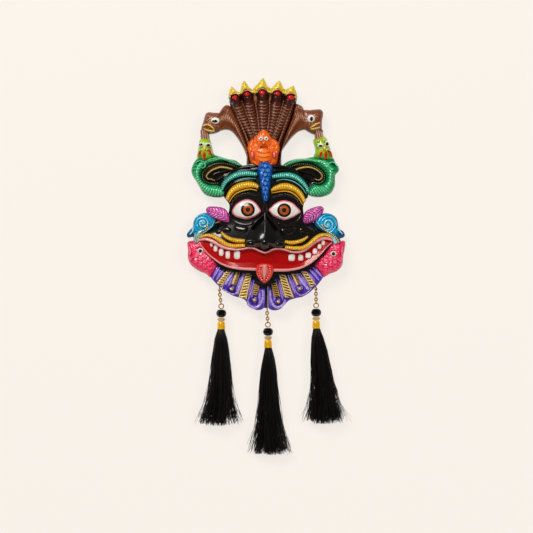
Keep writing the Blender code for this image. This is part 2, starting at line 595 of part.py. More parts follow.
def make_mask(pieces):
    """The plaque is one cast piece: its forms are joined, the mouth is sunk, and the back is cut flat."""
    outline = [
        (265, 166), (250, 168), (238, 169), (228, 174), (222, 182), (222, 190), (227, 201.3), (229.4, 208),
        (226, 217), (216, 221.6), (212, 229), (200, 236.6), (199, 242), (205, 251), (212, 258), (219, 265.6),
        (226, 269.8), (235, 272.2), (247, 273.2), (252.3, 274.6), (255.3, 281.4), (259.3, 287.7),
        (265.2, 291), (271, 287.7), (275.8, 280.8), (278.7, 274.6), (290, 274.2), (300, 272.2), (308, 269.2),
        (322.4, 275.4), (319, 262), (326, 250.6), (332.6, 242), (331, 237), (321, 232), (314, 224.6),
        (305, 222), (303.2, 210), (306.6, 199), (309, 192), (308, 185), (304, 178.5), (295, 172),
        (280, 168.5),
    ]
    relief = Relief(pieces)
    rings = (0.82, 0.48)
    mask = relief.pad("mask", "black", outline, (265.3, 228), 0.0, 0.0, ground=face_height, rings=rings)
    mask.hide_render = False
    mask.display_type = "TEXTURED"
    raised = [
        carve_crest, carve_side_snakes, carve_figure, carve_arms, carve_brows_and_eyes, carve_nose,
        carve_cheeks, carve_collar,
    ]
    stages = [
        ("relief", "UNION", raised),
        ("hollow", "DIFFERENCE", [carve_mouth_hollow]),
        ("mouth", "UNION", [carve_mouth]),
    ]
    for name, operation, carvers in stages:
        relief.into = collection(name)
        for carve in carvers:
            carve(relief)
        join(mask, operation, relief.into)
    trim = collection("trim")
    cut_back_and_holes(trim, mask.data.materials[0])
    join(mask, "DIFFERENCE", trim)


def bent_wire(name, points, closed, spot, turned, into, finish):
    """Round wire along points in the XZ plane, turned about the vertical through its spot."""
    curve = bpy.data.curves.new(name, "CURVE")
    curve.dimensions = "3D"
    curve.bevel_depth = WIRE / 2
    curve.bevel_resolution = 0
    curve.use_fill_caps = True
    spline = curve.splines.new("POLY")
    spline.points.add(len(points) - 1)
    spline.use_cyclic_u = closed
    for point, (x, z) in zip(spline.points, points):
        point.co = (x, 0.0, z, 1.0)
    curve.materials.append(finish)
    made = bpy.data.objects.new(name, curve)
    into.objects.link(made)
    made.location = spot
    made.rotation_euler.z = turned
    return made


def oval(width, height, count):
    """The middle line of a wire ring with these outer sizes."""
    angles = np.linspace(0, 2 * math.pi, count, endpoint=False)
    return [((width - WIRE) / 2 * math.cos(a), (height - WIRE) / 2 * math.sin(a)) for a in angles]


def make_eyelet(side, pieces, gold):
    """Straight wire that ends in a loop, bent round until it nearly meets itself."""
    radius = (EYELET_DIAMETER - WIRE) / 2
    top = EYELET_DIAMETER / 2 + straight_wire(side) - GAP
    loop = [(radius * math.sin(a), radius * math.cos(a)) for a in np.radians(np.linspace(0, 300, 8))]
    turned = math.radians(90) if side == "centre" else 0.0
    bent_wire(f"{side}_eyelet", [(0.0, top), *loop], False, eyelet_centre(side), turned, pieces, gold)


def turned_piece(name, profile, spot, into, finish, steps):
    """A turned piece from its profile, which runs down the outer side from the axis and back to it."""
    mesh = bpy.data.meshes.new(name)
    edges = [(k, k + 1) for k in range(len(profile) - 1)]
    mesh.from_pydata([(r, 0.0, z) for r, z in profile], edges, [])
    mesh.materials.append(finish)
    made = bpy.data.objects.new(name, mesh)
    into.objects.link(made)
    made.location = spot
    spin = made.modifiers.new("turn", "SCREW")
    spin.steps = steps
    spin.render_steps = steps
    spin.use_smooth_shade = True
    spin.use_merge_vertices = True
    spin.merge_threshold = 0.00001
    return made


def make_skirt(side, top, length, lean, pieces, thread):
    """The threads leave the cap as a round bundle and fan out into a wide, flatter brush."""
    neck = CAP_DIAMETER / 2 - CAP_WALL - GAP
    fan = [(0.08, 0.34), (0.33, 0.54), (0.55, 0.64), (0.76, 0.79), (1.0, 1.0)]
    sections = [(-CAP_HEIGHT * 0.5, neck, neck, 0.0), (GAP, neck, neck, 0.0)]
    for share, spread in fan:
        thickness = neck + (SKIRT_THICKNESS / 2 - neck) * min(1.0, share * 1.6)
        sections.append((share * length, SKIRT_WIDTH / 2 * spread, thickness, lean * share**1.2))
    mould = bmesh.new()
    rows = []
    for depth, half_width, half_thickness, drift in sections:
        middle = top + Vector((drift, 0, -depth))
        row = []
        for angle in np.linspace(0, 2 * math.pi, 10, endpoint=False):
            corner = Vector((half_width * math.cos(angle), half_thickness * math.sin(angle), 0))
            row.append(mould.verts.new(middle + corner))
        rows.append(row)
    loft(mould, rows)
    bmesh.ops.recalc_face_normals(mould, faces=mould.faces[:])
    return add(f"{side}_skirt", mould, pieces, thread)


def make_chain(side, links, drift, pieces):
    """The eyelet, its links, each a quarter turn from the last, and the ring over the bead. Returns the spot
    just under the ring."""
    gold = material("chain gold", (0.58, 0.32, 0.045), 0.25, 1.0)
    make_eyelet(side, pieces, gold)
    passing = WIRE + GAP
    hook = (EYELET_DIAMETER - WIRE) / 2
    reach = (LINK_LENGTH - WIRE) / 2
    ring_reach = (RING_DIAMETER - WIRE) / 2
    steps = [hook - passing + reach] + [2 * reach - passing] * (links - 1) + [reach - passing + ring_reach]
    start = eyelet_centre(side)
    edge_on = side != "centre"
    depth = 0.0
    for number, step in enumerate(steps, 1):
        depth += step
        spot = start + Vector((drift * depth / sum(steps), 0, -depth))
        if number > links:
            bent_wire(f"{side}_ring", oval(RING_DIAMETER, RING_DIAMETER, 10), True, spot, 0.0, pieces, gold)
        else:
            turned = math.radians(90) if edge_on else 0.0
            outline = oval(LINK_WIDTH, LINK_LENGTH, 8)
            bent_wire(f"{side}_link_{number}", outline, True, spot, turned, pieces, gold)
        edge_on = not edge_on
    return spot - Vector((0, 0, RING_DIAMETER / 2))


def make_tassel(side, length, pieces):
    """Chain, bead, spacer, cap and threads, each hung from the one above."""
    tassel = TASSELS[side]
    spot = make_chain(side, tassel["links"], tassel["drift"], pieces) - Vector((0, 0, GAP))

    radius = BEAD_DIAMETER / 2
    round_side = [(0.42, 0), (0.80, 0.18), (1.0, 0.42), (1.0, 0.58), (0.80, 0.82), (0.42, 1.0)]
    profile = [(0, 0), *[(radius * r, -BEAD_HEIGHT * z) for r, z in round_side], (0, -BEAD_HEIGHT)]
    black_glass = material("black glass", (0.01, 0.01, 0.01), 0.1)
    turned_piece(f"{side}_bead", profile, spot, pieces, black_glass, 9)
    spot = spot - Vector((0, 0, BEAD_HEIGHT + GAP))

    radius = SPACER_DIAMETER / 2
    round_side = [(0.62, 0), (1.0, 0.38), (1.0, 0.62), (0.66, 1.0)]
    profile = [(0, 0), *[(radius * r, -SPACER_HEIGHT * z) for r, z in round_side], (0, -SPACER_HEIGHT)]
    pale_glass = material("champagne glass", (0.55, 0.42, 0.22), 0.15, 0.6)
    turned_piece(f"{side}_spacer", profile, spot, pieces, pale_glass, 9)
    spot = spot - Vector((0, 0, SPACER_HEIGHT + GAP))

    radius = CAP_DIAMETER / 2
    inside = radius - CAP_WALL
    roof = CAP_HEIGHT * 0.3
    profile = [
        (0, 0), (radius * 0.72, 0), (radius * 0.93, -CAP_HEIGHT * 0.12), (radius * 0.96, -CAP_HEIGHT * 0.5),
        (radius, -CAP_HEIGHT), (inside, -CAP_HEIGHT), (inside, -roof), (0, -roof),
    ]
    brass = material("cap gold", (0.80, 0.45, 0.04), 0.2, 1.0)
    turned_piece(f"{side}_cap", profile, spot, pieces, brass, 9)
    thread = material("black silk thread", (0.008, 0.008, 0.008), 0.45)
    make_skirt(side, spot - Vector((0, 0, CAP_HEIGHT)), length, tassel["lean"], pieces, thread)


def main():
    for old in list(bpy.data.objects):
        bpy.data.objects.remove(old, do_unlink=True)
    pieces = collection("kirtimukha wall hanging")
    make_mask(pieces)
    make_tassel("left", SIDE_SKIRT_LENGTH, pieces)
    make_tassel("centre", CENTRE_SKIRT_LENGTH, pieces)
    make_tassel("right", SIDE_SKIRT_LENGTH, pieces)


main()
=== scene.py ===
"""Kirtimukha wall hanging: a moulded and brightly painted demon face with three black tassels.
Metres, +Z up, the face towards -Y and the flat back on the wall plane y = 0."""
import math

import bmesh
import bpy
import numpy as np
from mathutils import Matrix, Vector


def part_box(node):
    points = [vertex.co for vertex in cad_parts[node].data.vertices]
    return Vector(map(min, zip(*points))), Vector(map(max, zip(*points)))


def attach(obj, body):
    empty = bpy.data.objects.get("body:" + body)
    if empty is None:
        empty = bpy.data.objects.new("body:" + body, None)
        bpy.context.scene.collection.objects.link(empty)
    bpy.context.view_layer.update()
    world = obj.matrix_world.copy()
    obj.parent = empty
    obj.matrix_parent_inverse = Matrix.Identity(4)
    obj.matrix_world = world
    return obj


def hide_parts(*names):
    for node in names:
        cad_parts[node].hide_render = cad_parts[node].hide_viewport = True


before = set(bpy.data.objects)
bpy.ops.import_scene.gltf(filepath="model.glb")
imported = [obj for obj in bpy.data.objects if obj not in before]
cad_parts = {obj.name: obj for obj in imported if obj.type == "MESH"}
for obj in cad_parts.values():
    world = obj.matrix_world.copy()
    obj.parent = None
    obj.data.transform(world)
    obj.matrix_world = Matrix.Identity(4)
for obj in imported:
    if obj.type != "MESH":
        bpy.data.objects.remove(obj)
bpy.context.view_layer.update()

# The studio. A cream wall right behind the hanging, a pale floor well below it, a big soft light above and
# to the left, a weaker one to the right, and a long lens straight in front, as the product was photographed.
# The drawing's unit is a pixel of the photograph: the plaque is DRAWN_HEIGHT units high.
PHOTO_SIDE = 533.0
PHOTO_CENTRE = (266.5, 266.5)
PLAQUE_HEIGHT = 0.2556
DRAWN_HEIGHT = 232.4
UNIT = PLAQUE_HEIGHT / DRAWN_HEIGHT
DEPTH_UNIT = 0.0011
ORIGIN_U, ORIGIN_V = 265.5, 150.0
CAMERA_DISTANCE = 2.5
AIM_DEPTH = 11.0
SENSOR = 36.0
LIT_SPOT = Vector((0, 0, -0.1))
STUDIO_HALF = 2.5
WALL_Y = 0.0015
WALL_TOP = 1.8
FLOOR_Z = -1.3
FLOOR_FRONT = -1.1


def place(u, v, h):
    """A point of the drawing in metres: u units to the right, v units down, h depth units off the wall."""
    x, y, z = (u - ORIGIN_U) * UNIT, -h * DEPTH_UNIT, (ORIGIN_V - v) * UNIT
    return np.stack(np.broadcast_arrays(x, y, z), axis=-1)


def linear(code):
    """The linear colour of an sRGB hex code: ((c + 0.055) / 1.055) ** 2.4 above the foot of the curve."""
    channels = [int(code[k:k + 2], 16) / 255 for k in (1, 3, 5)]
    return (*[c / 12.92 if c <= 0.04045 else ((c + 0.055) / 1.055) ** 2.4 for c in channels], 1.0)


def add_node(tree, kind, inputs, **settings):
    """One shader node. An input is a value, or a (node, output) pair that feeds it."""
    made = tree.nodes.new(kind)
    for name, value in settings.items():
        setattr(made, name, value)
    for socket, value in inputs.items():
        if isinstance(value, tuple) and isinstance(value[0], bpy.types.Node):
            tree.links.new(value[0].outputs[value[1]], made.inputs[socket])
        else:
            made.inputs[socket].default_value = value
    return made


def new_material(name):
    """A material with nothing in its node tree yet."""
    made = bpy.data.materials.new(name)
    made.use_nodes = True
    made.node_tree.nodes.clear()
    return made, made.node_tree


def stage_sheet(name, near, far, finish):
    """A sheet of the studio between two level edges, each at a (y, z)."""
    mesh = bpy.data.meshes.new(name)
    corners = [(-STUDIO_HALF, *near), (STUDIO_HALF, *near), (STUDIO_HALF, *far), (-STUDIO_HALF, *far)]
    mesh.from_pydata(corners, [], [(0, 1, 2, 3)])
    mesh.materials.append(finish)
    made = bpy.data.objects.new(name, mesh)
    bpy.context.scene.collection.objects.link(made)


def soft_light(name, spot, size, power, colour):
    """A soft box, turned towards the middle of the hanging."""
    light = bpy.data.lights.new(name, "AREA")
    light.shape = "RECTANGLE"
    light.size, light.size_y = size
    light.energy = power
    light.color = linear(colour)[:3]
    made = bpy.data.objects.new(name, light)
    bpy.context.scene.collection.objects.link(made)
    made.location = spot
    made.rotation_euler = (LIT_SPOT - Vector(spot)).to_track_quat("-Z", "Y").to_euler()
    return made


# Cream wall paper, lit evenly: most of its light is its own, so that only a faint shadow shows on it. It is
# clear from behind.
wall_paper, tree = new_material("cream wall paper")
paper = add_node(tree, "ShaderNodeBsdfDiffuse", {"Color": linear("#857e77"), "Roughness": 1.0})
glow = add_node(tree, "ShaderNodeEmission", {"Color": linear("#fbf6f0"), "Strength": 0.82})
lit = add_node(tree, "ShaderNodeAddShader", {0: (paper, 0), 1: (glow, 0)})
clear = add_node(tree, "ShaderNodeBsdfTransparent", {})
side_seen = add_node(tree, "ShaderNodeNewGeometry", {})
both = add_node(tree, "ShaderNodeMixShader", {0: (side_seen, "Backfacing"), 1: (lit, 0), 2: (clear, 0)})
add_node(tree, "ShaderNodeOutputMaterial", {"Surface": (both, 0)})

floor_finish, tree = new_material("pale floor")
matt = add_node(tree, "ShaderNodeBsdfDiffuse", {"Color": linear("#f4ece2"), "Roughness": 1.0})
add_node(tree, "ShaderNodeOutputMaterial", {"Surface": (matt, 0)})

stage_sheet("studio_wall", (WALL_Y, FLOOR_Z), (WALL_Y, WALL_TOP), wall_paper)
stage_sheet("studio_floor", (FLOOR_FRONT, FLOOR_Z), (WALL_Y, FLOOR_Z), floor_finish)

soft_light("key light", (-0.75, -1.5, 1.15), (1.0, 0.7), 32.0, "#fffaf2")
side_light = soft_light("fill light", (1.25, -1.7, 0.25), (0.7, 1.1), 15.0, "#fff8f0")
side_light.visible_glossy = False

surroundings = bpy.data.worlds.new("studio")
surroundings.use_nodes = True
surroundings.node_tree.nodes.clear()
sky = add_node(surroundings.node_tree, "ShaderNodeBackground", {"Color": linear("#f6eee4"), "Strength": 0.09})
add_node(surroundings.node_tree, "ShaderNodeOutputWorld", {"Surface": (sky, 0)})
bpy.context.scene.world = surroundings
bpy.context.scene.view_settings.view_transform = "Standard"

lens = bpy.data.cameras.new("long lens")
lens.sensor_width = SENSOR
lens.lens = SENSOR * CAMERA_DISTANCE / (PHOTO_SIDE * UNIT)
lens.clip_end = 20.0
camera = bpy.data.objects.new("long lens", lens)
bpy.context.scene.collection.objects.link(camera)
camera.location = place(*PHOTO_CENTRE, AIM_DEPTH) + np.array([0.0, -CAMERA_DISTANCE, 0.0])
camera.rotation_euler = (math.radians(90), 0.0, 0.0)
bpy.context.scene.camera = camera

# The plaque's black face. The real plaque is one moulded shell, brushed all over with gloss black enamel
# before the colours go on. It is a skull dome, a wide muzzle dome and a chin, sunk behind the lips, and every
# painted form stands on it. This first piece stands for the solid mask, and the others are laid over it.
FOOT = 0.9
SKULL = ((265.5, 215.0), (48.0, 62.0), 12.0)
MUZZLE = ((265.5, 252.0), (74.0, 34.0), 13.0)
CHIN = ((265.5, 262.0), (40.0, 44.0), 9.0)
RIM = 9.0
MOUTH_DEPTH = 5.0
MOUTH_ENDS = (199.0, 333.0)
BEHIND_LIPS = MOUTH_DEPTH + 1.5
UPPER_LIP = [
    (198.0, 240.6), (203, 239.2), (208, 239.6), (213, 241.5), (218, 244.5), (223, 247), (228, 248.5),
    (235, 249.5), (243, 249), (248, 248), (254, 248.6), (260, 251.3), (264.7, 252.8), (269, 251.5),
    (273, 249.5), (279, 248.8), (285, 250), (292, 252), (299, 252), (305, 249.5), (310, 245.5),
    (315, 241.6), (320, 239), (325, 238.2), (330, 239.2), (333.5, 241.2),
]
LOWER_LIP = [
    (200.0, 243.6), (204, 249), (209, 254.6), (216, 260.2), (222, 264), (230, 267), (240, 268.6),
    (250, 269.1), (264.5, 269.9), (280, 270.2), (290, 269.8), (300, 267.8), (308, 264.2), (315, 259.2),
    (321, 253.4), (327, 246.8), (332, 242.6),
]


def flat(u, v):
    """The wall plane: height 0 all over."""
    return np.zeros(np.broadcast(u, v).shape)


def bulge(u, v, form):
    """Half an ellipsoid: rise * sqrt(1 - (u/a)^2 - (v/b)^2) about its centre, and 0 outside."""
    (u0, v0), (a, b), rise = form
    return rise * np.sqrt(np.clip(1 - ((u - u0) / a) ** 2 - ((v - v0) / b) ** 2, 0, None))


def face(u, v):
    """The three domes blended: the cube root of the sum of their cubes, over the plaque's rim."""
    return RIM + np.cbrt(sum(bulge(u, v, form) ** 3 for form in (SKULL, MUZZLE, CHIN)))


def curve(points, count, closed=False):
    """A Catmull-Rom curve through the points, cut into count points that are evenly spaced along it."""
    p = np.array(points, float)
    p = np.vstack([p[-1], p, p[:2]]) if closed else np.vstack([2 * p[0] - p[1], p, 2 * p[-1] - p[-2]])
    a, b, c, d = p[:-3], p[1:-2], p[2:-1], p[3:]
    t = np.linspace(0, 1, 24, endpoint=False)[:, None, None]
    line = 0.5 * (2 * b + (c - a) * t + (2 * a - 5 * b + 4 * c - d) * t**2 + (3 * b - a - 3 * c + d) * t**3)
    line = np.vstack([line.transpose(1, 0, 2).reshape(-1, p.shape[1]), p[-2]])
    along = np.append(0.0, np.cumsum(np.linalg.norm(np.diff(line, axis=0), axis=1)))
    stops = np.linspace(0, along[-1], count, endpoint=not closed)
    return np.stack([np.interp(stops, along, line[:, k]) for k in range(p.shape[1])], axis=-1)


upper_line = curve(UPPER_LIP, 300)
lower_line = curve(LOWER_LIP, 300)


def lips_at(u):
    """How far down the upper and the lower lip lie at u."""
    return [np.interp(u, line[:, 0], line[:, 1]) for line in (upper_line, lower_line)]


def mouth_floor(u, v):
    """The mouth's red hollow. With x from -1 at the upper lip to 1 at the lower one, it is sunk by
    (1 - x^2)^0.7 * (1 - 0.55 x), which is deepest under the upper lip, and by less in the last 12 units
    before each end."""
    top, low = lips_at(u)
    x = np.clip(2 * (v - top) / np.maximum(low - top, 0.5) - 1, -1, 1)
    near_ends = np.clip((u - MOUTH_ENDS[0]) / 12, 0, 1) * np.clip((MOUTH_ENDS[1] - u) / 12, 0, 1)
    return face(u, v) + 0.4 - 0.72 * MOUTH_DEPTH * (1 - x**2) ** 0.7 * (1 - 0.55 * x) * near_ends


def grid(points, lift, closed=True):
    """Quads over rows of points. A closed grid's rows are loops, and a fan closes each end."""
    rows, columns = points.shape[:2]
    i = np.arange(rows - 1)[:, None] * columns
    j = np.arange(columns if closed else columns - 1)[None, :]
    n = (j + 1) % columns
    quads = np.stack([i + j, i + n, i + columns + n, i + columns + j], axis=-1).reshape(-1, 4)
    points, lift = points.reshape(-1, 3), lift.ravel()
    j = np.arange(columns)
    last = (rows - 1) * columns
    fans = np.vstack([
        np.stack([(j + 1) % columns, j, np.full(columns, len(points))], axis=-1),
        np.stack([last + j, last + (j + 1) % columns, np.full(columns, len(points) + 1)], axis=-1),
    ])
    ends = np.stack([points[:columns].mean(0), points[last:].mean(0)])
    lift = np.append(lift, [lift[:columns].mean(), lift[last:].mean()])
    return np.vstack([points, ends]), quads, fans, lift


SOLE_HIGH = FOOT + 0.05
soles = []


def add_sole(lines, axis):
    """A thin slab under a form, between the wall plane and the form's foot, for the plaque's back. Each lies
    a few thousandths of a millimetre deeper than the last, so that no two are in one plane."""
    deeper = 0.004 * len(soles)
    loops = np.stack([place(line[:, 0], line[:, 1], h + deeper) for line, h in lines], axis=axis)
    soles.append(grid(loops, np.zeros(loops.shape[:2])))


def rub_and_shade_level(arch, bump, worn):
    """The level that the pearl enamels read for rubbed paint and for painted shade and highlight: share *
    arch + (1 - share) * bump, with the bump stretched to run from 0 to 1, and the arch alone where there is
    no bump.
    The arch paints each form darker at its edges, where it meets what it stands on, and paler on top."""
    spread = np.ptp(bump)
    return worn * arch + (1 - worn) * (bump - bump.min()) / spread if spread else arch


def band(edges, side, crown, sections=80, across=13, ground=flat, foot=None, relief=None, ends=0.0, slope=0.5,
         worn=0.5):
    """A raised band between two edge curves. With x from -1 at one edge to 1 at the other, its height is
    side + (crown - side) * (1 - x^2)^slope, plus relief(s, x) at the distance s along it. Its ends, over
    that length, come down to the sides along a quarter circle. It is closed, and stands on foot over its
    ground, or just off the wall."""
    a, b = [curve(edge, sections) for edge in edges]
    middle = (a + b) / 2
    s = np.append(0.0, np.cumsum(np.linalg.norm(np.diff(middle, axis=0), axis=1)))[:, None]
    x = -np.cos(np.linspace(0, math.pi, across))[None, :]
    u = a[:, :1] * (1 - x) / 2 + b[:, :1] * (1 + x) / 2
    v = a[:, 1:] * (1 - x) / 2 + b[:, 1:] * (1 + x) / 2
    arch = (1 - x**2) ** slope * np.ones_like(s)
    bump = np.zeros_like(u) if relief is None else relief(s, x)
    if ends:
        near = np.clip(np.minimum(s, s[-1] - s) / ends, 0, 1)
        fall = np.sqrt(1 - (1 - near) ** 2)
        arch, bump = arch * fall, bump * fall
    h = ground(u, v) + side + (crown - side) * arch + bump
    sides = [place(e[:, 0], e[:, 1], FOOT if foot is None else ground(e[:, 0], e[:, 1]) + foot)[:, None]
             for e in (a, b)]
    loops = np.concatenate([sides[0], place(u, v, h), sides[1]], axis=1)
    if foot is None:
        a, b = a + (b - a) * 0.02, b + (a - b) * 0.02
        add_sole([[a, 0.0], [a, SOLE_HIGH], [b, SOLE_HIGH], [b, 0.0]], 1)
    none = np.zeros((sections, 1))
    return grid(loops, np.concatenate([none, rub_and_shade_level(arch, bump, worn), none], axis=1))


def sides_of(path, widths, sections):
    """The two edges of a stroke along a path, whose widths are spread evenly along it."""
    line = curve(path, sections)
    stops = np.linspace(0, 1, sections)
    half = np.interp(stops, np.linspace(0, 1, len(widths)), widths) / 2
    along = np.gradient(line, axis=0)
    across = np.stack([along[:, 1], -along[:, 0]], axis=-1) / np.hypot(*along.T)[:, None]
    return line - across * half[:, None], line + across * half[:, None]


def stroke(path, widths, side, crown, sections=60, **how):
    """A raised band of the given widths along a path."""
    return band(sides_of(path, widths, sections), side, crown, sections, **how)


def pad(outline, centre, side, crown, points=96, rings=14, ground=flat, foot=None, relief=None, slope=0.5,
        worn=0.5):
    """A cushion inside an outline. Ring r, from 1 at the outline to 0 at the centre, has the height
    side + (crown - side) * (1 - r^2)^slope, plus relief(u, v, r). It is closed, and stands on foot over its
    ground, or just off the wall."""
    rim = curve(outline, points, closed=True)
    r = np.cos(np.linspace(0, math.pi / 2, rings, endpoint=False))[:, None]
    u = centre[0] + (rim[None, :, 0] - centre[0]) * r
    v = centre[1] + (rim[None, :, 1] - centre[1]) * r
    arch = (1 - r**2) ** slope * np.ones_like(u)
    bump = np.zeros_like(u) if relief is None else relief(u, v, r) * np.ones_like(u)
    h = ground(u, v) + side + (crown - side) * arch + bump
    base = np.full(points, FOOT) if foot is None else ground(rim[:, 0], rim[:, 1]) + foot
    if foot is None:
        inner = rim + (np.array(centre) - rim) * 0.01
        add_sole([[inner, 0.0], [inner, SOLE_HIGH]], 0)
    loops = np.concatenate([place(rim[:, 0], rim[:, 1], base)[None], place(u, v, h)])
    return grid(loops, np.concatenate([np.zeros((1, points)), rub_and_shade_level(arch, bump, worn)]))


def dome(centre, radii, h, rise, around=20, rows=10):
    """A ball pressed flat: an ellipsoid about (u, v, h), whose poles lie along its height."""
    polar = np.linspace(0, math.pi, rows + 1)[1:-1, None]
    turn = np.linspace(0, 2 * math.pi, around, endpoint=False)[None, :]
    u = centre[0] + radii[0] * np.sin(polar) * np.cos(turn)
    v = centre[1] + radii[1] * np.sin(polar) * np.sin(turn)
    height = np.cos(polar) * np.ones_like(turn)
    # The lift is 1 at the front and 0 round the rim: in a pearl enamel the dome is painted pale on top as
    # highlight and dark at its foot as shade.
    return grid(place(u, v, h + rise * height), np.clip(height, 0, 1))


def build(name, parts, finish, fold=50):
    """One mesh of closed bodies, faces outwards, smooth except over sharp folds. The attribute 'lift' is 0 in
    the valleys and 1 on the crests, for the paint to read: it sets rubbed paint and painted shade and
    highlight."""
    offsets = np.cumsum([0, *[len(part[0]) for part in parts]])
    points = np.vstack([part[0] for part in parts])
    faces = [face for part, start in zip(parts, offsets) for group in part[1:3]
             for face in (group + start).tolist()]
    mesh = bpy.data.meshes.new(name)
    mesh.from_pydata(points.tolist(), [], faces)
    lift = mesh.attributes.new("lift", "FLOAT", "POINT")
    lift.data.foreach_set("value", np.concatenate([part[3] for part in parts]).astype(np.float32))
    work = bmesh.new()
    work.from_mesh(mesh)
    bmesh.ops.recalc_face_normals(work, faces=work.faces[:])
    work.to_mesh(mesh)
    work.free()
    mesh.shade_smooth()
    mesh.set_sharp_from_angle(angle=math.radians(fold))
    mesh.materials.append(finish)
    made = bpy.data.objects.new(name, mesh)
    bpy.context.scene.collection.objects.link(made)
    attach(made, "root")
    return made


def enamelled(name, parts, finish):
    """A painted piece of the plaque."""
    made = build(name, parts, finish)
    return made


WAVES_PER_METRE = 420.0
STREAKS_PER_METRE = 700.0


def gloss_enamel(name, colour, roughness=0.12, coat=1.0, wave_depth=0.2):
    """Gloss enamel laid on with a brush: one deep colour, a hard clear shine, and faint brush waves of about
    2.4 mm and finer, up to wave_depth millimetres deep, which bend the reflections a little."""
    made, tree = new_material(name)
    where = add_node(tree, "ShaderNodeTexCoord", {})
    waves = add_node(tree, "ShaderNodeTexNoise",
                     {"Vector": (where, "Object"), "Scale": WAVES_PER_METRE, "Detail": 3.0})
    uneven = add_node(tree, "ShaderNodeBump",
                      {"Height": (waves, 0), "Strength": 0.35, "Distance": wave_depth / 1000})
    tone = add_node(tree, "ShaderNodeValToRGB", {"Fac": (waves, 0)})
    for element, strength in zip(tone.color_ramp.elements, (0.8, 1.2)):
        element.color = [*(min(1.0, c * strength) for c in linear(colour)[:3]), 1.0]
    shader = add_node(tree, "ShaderNodeBsdfPrincipled", {
        "Base Color": (tone, 0), "Normal": (uneven, 0), "Roughness": 0.3, "Specular IOR Level": 0.15,
        "Coat Weight": coat, "Coat Roughness": roughness,
    })
    add_node(tree, "ShaderNodeOutputMaterial", {"Surface": (shader, 0)})
    return made


def pearl_enamel(name, deep, body, light, metal=0.35, roughness=0.33):
    """Metallic acrylic paint over a dark undercoat, coloured by the 'lift' attribute: deep in the valleys,
    pale on the crests. That is partly rubbed paint and mica, and partly painted shade in the valleys and
    painted highlight on the crests. The brush leaves streaks of about 1.4 mm and finer."""
    made, tree = new_material(name)
    where = add_node(tree, "ShaderNodeTexCoord", {})
    height = add_node(tree, "ShaderNodeAttribute", {}, attribute_name="lift")
    streaks = add_node(tree, "ShaderNodeTexNoise",
                       {"Vector": (where, "Object"), "Scale": STREAKS_PER_METRE, "Detail": 4.0})
    mixed = add_node(tree, "ShaderNodeMath", {0: (streaks, 0), 1: 0.5, 2: -0.25}, operation="MULTIPLY_ADD")
    level = add_node(tree, "ShaderNodeMath", {0: (height, "Fac"), 1: (mixed, 0)}, operation="ADD")
    tone = add_node(tree, "ShaderNodeValToRGB", {"Fac": (level, 0)})
    # The ramp runs from painted shade in the valleys to painted highlight on the crests, over the rubbed
    # paint.
    ramp = tone.color_ramp.elements
    ramp[0].position, ramp[0].color = 0.05, linear(deep)
    ramp[1].position, ramp[1].color = 0.98, linear(light)
    for position in (0.42, 0.72):
        ramp.new(position).color = linear(body)
    uneven = add_node(tree, "ShaderNodeBump", {"Height": (streaks, 0), "Strength": 0.5, "Distance": 0.0003})
    shader = add_node(tree, "ShaderNodeBsdfPrincipled", {
        "Base Color": (tone, 0), "Normal": (uneven, 0), "Roughness": roughness, "Metallic": metal,
        "Coat Weight": 0.5, "Coat Roughness": 0.15,
    })
    add_node(tree, "ShaderNodeOutputMaterial", {"Surface": (shader, 0)})
    return made


black_enamel = gloss_enamel("gloss black enamel", "#0d0c0c")

FACE_OUTLINE = [
    (265, 163.5), (250, 164.6), (243, 165.8), (236, 168.4), (226, 174.5), (222, 184), (222, 190), (224, 197),
    (227, 201), (229.5, 205),
    (229, 211), (226, 218), (215, 220), (207, 227), (199, 234.6), (198.5, 240), (204, 250), (212, 258),
    (218, 265), (225, 269.5), (235, 272), (247, 273.2), (252, 274.2), (254.8, 279.6), (258.6, 284.8),
    (264.8, 287.6), (271, 284.8), (276, 279), (279, 274.2), (290, 274), (300, 272), (308, 269.4),
    (313.6, 266), (317.4, 261), (323.4, 254.4), (329.4, 246.4), (333.4, 241), (331.6, 236), (326, 231),
    (318, 223.5), (305, 221), (303.5, 213), (303, 208), (304, 203), (306, 199.5), (308.5, 194.5),
    (309, 187), (304, 178), (297, 171.6), (288, 166.8), (280, 164.8),
]


def sunk_mouth(u, v, r):
    """The face falls away behind the lips, over 1.4 units, so that it lies under the mouth's floor."""
    top, low = lips_at(u)
    return -BEHIND_LIPS * np.clip((v - top - 0.3) / 1.4, 0, 1) * np.clip((low - 0.3 - v) / 1.4, 0, 1)


face_pad = pad(FACE_OUTLINE, (265.3, 228.0), 0.0, 0.0, points=220, rings=64, ground=face, relief=sunk_mouth)
black_face = enamelled("black_face", [face_pad], black_enamel)
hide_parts("mask")

# The crest is a fan of five hooded snakes, modelled on the plaque and painted coffee brown, darkest on the
# hoods. Their ribbed bellies are paler and pinkish on the ribs' crests, partly rubbed paint and partly
# painted highlight; thin ridges part the necks, and flames crown the hoods.
brown_enamel = pearl_enamel("pearly brown enamel", "#200600", "#541c08", "#b47452", 0.1, 0.3)
dark_brown_enamel = pearl_enamel("dark brown enamel", "#120100", "#260400", "#44150a", 0.05, 0.22)
yellow_enamel = pearl_enamel("pearly yellow enamel", "#9c7a10", "#e6ca22", "#fbf08c", 0.2, 0.38)
red_enamel = gloss_enamel("gloss red enamel", "#d3161b", 0.1, 1.0, 0.1)
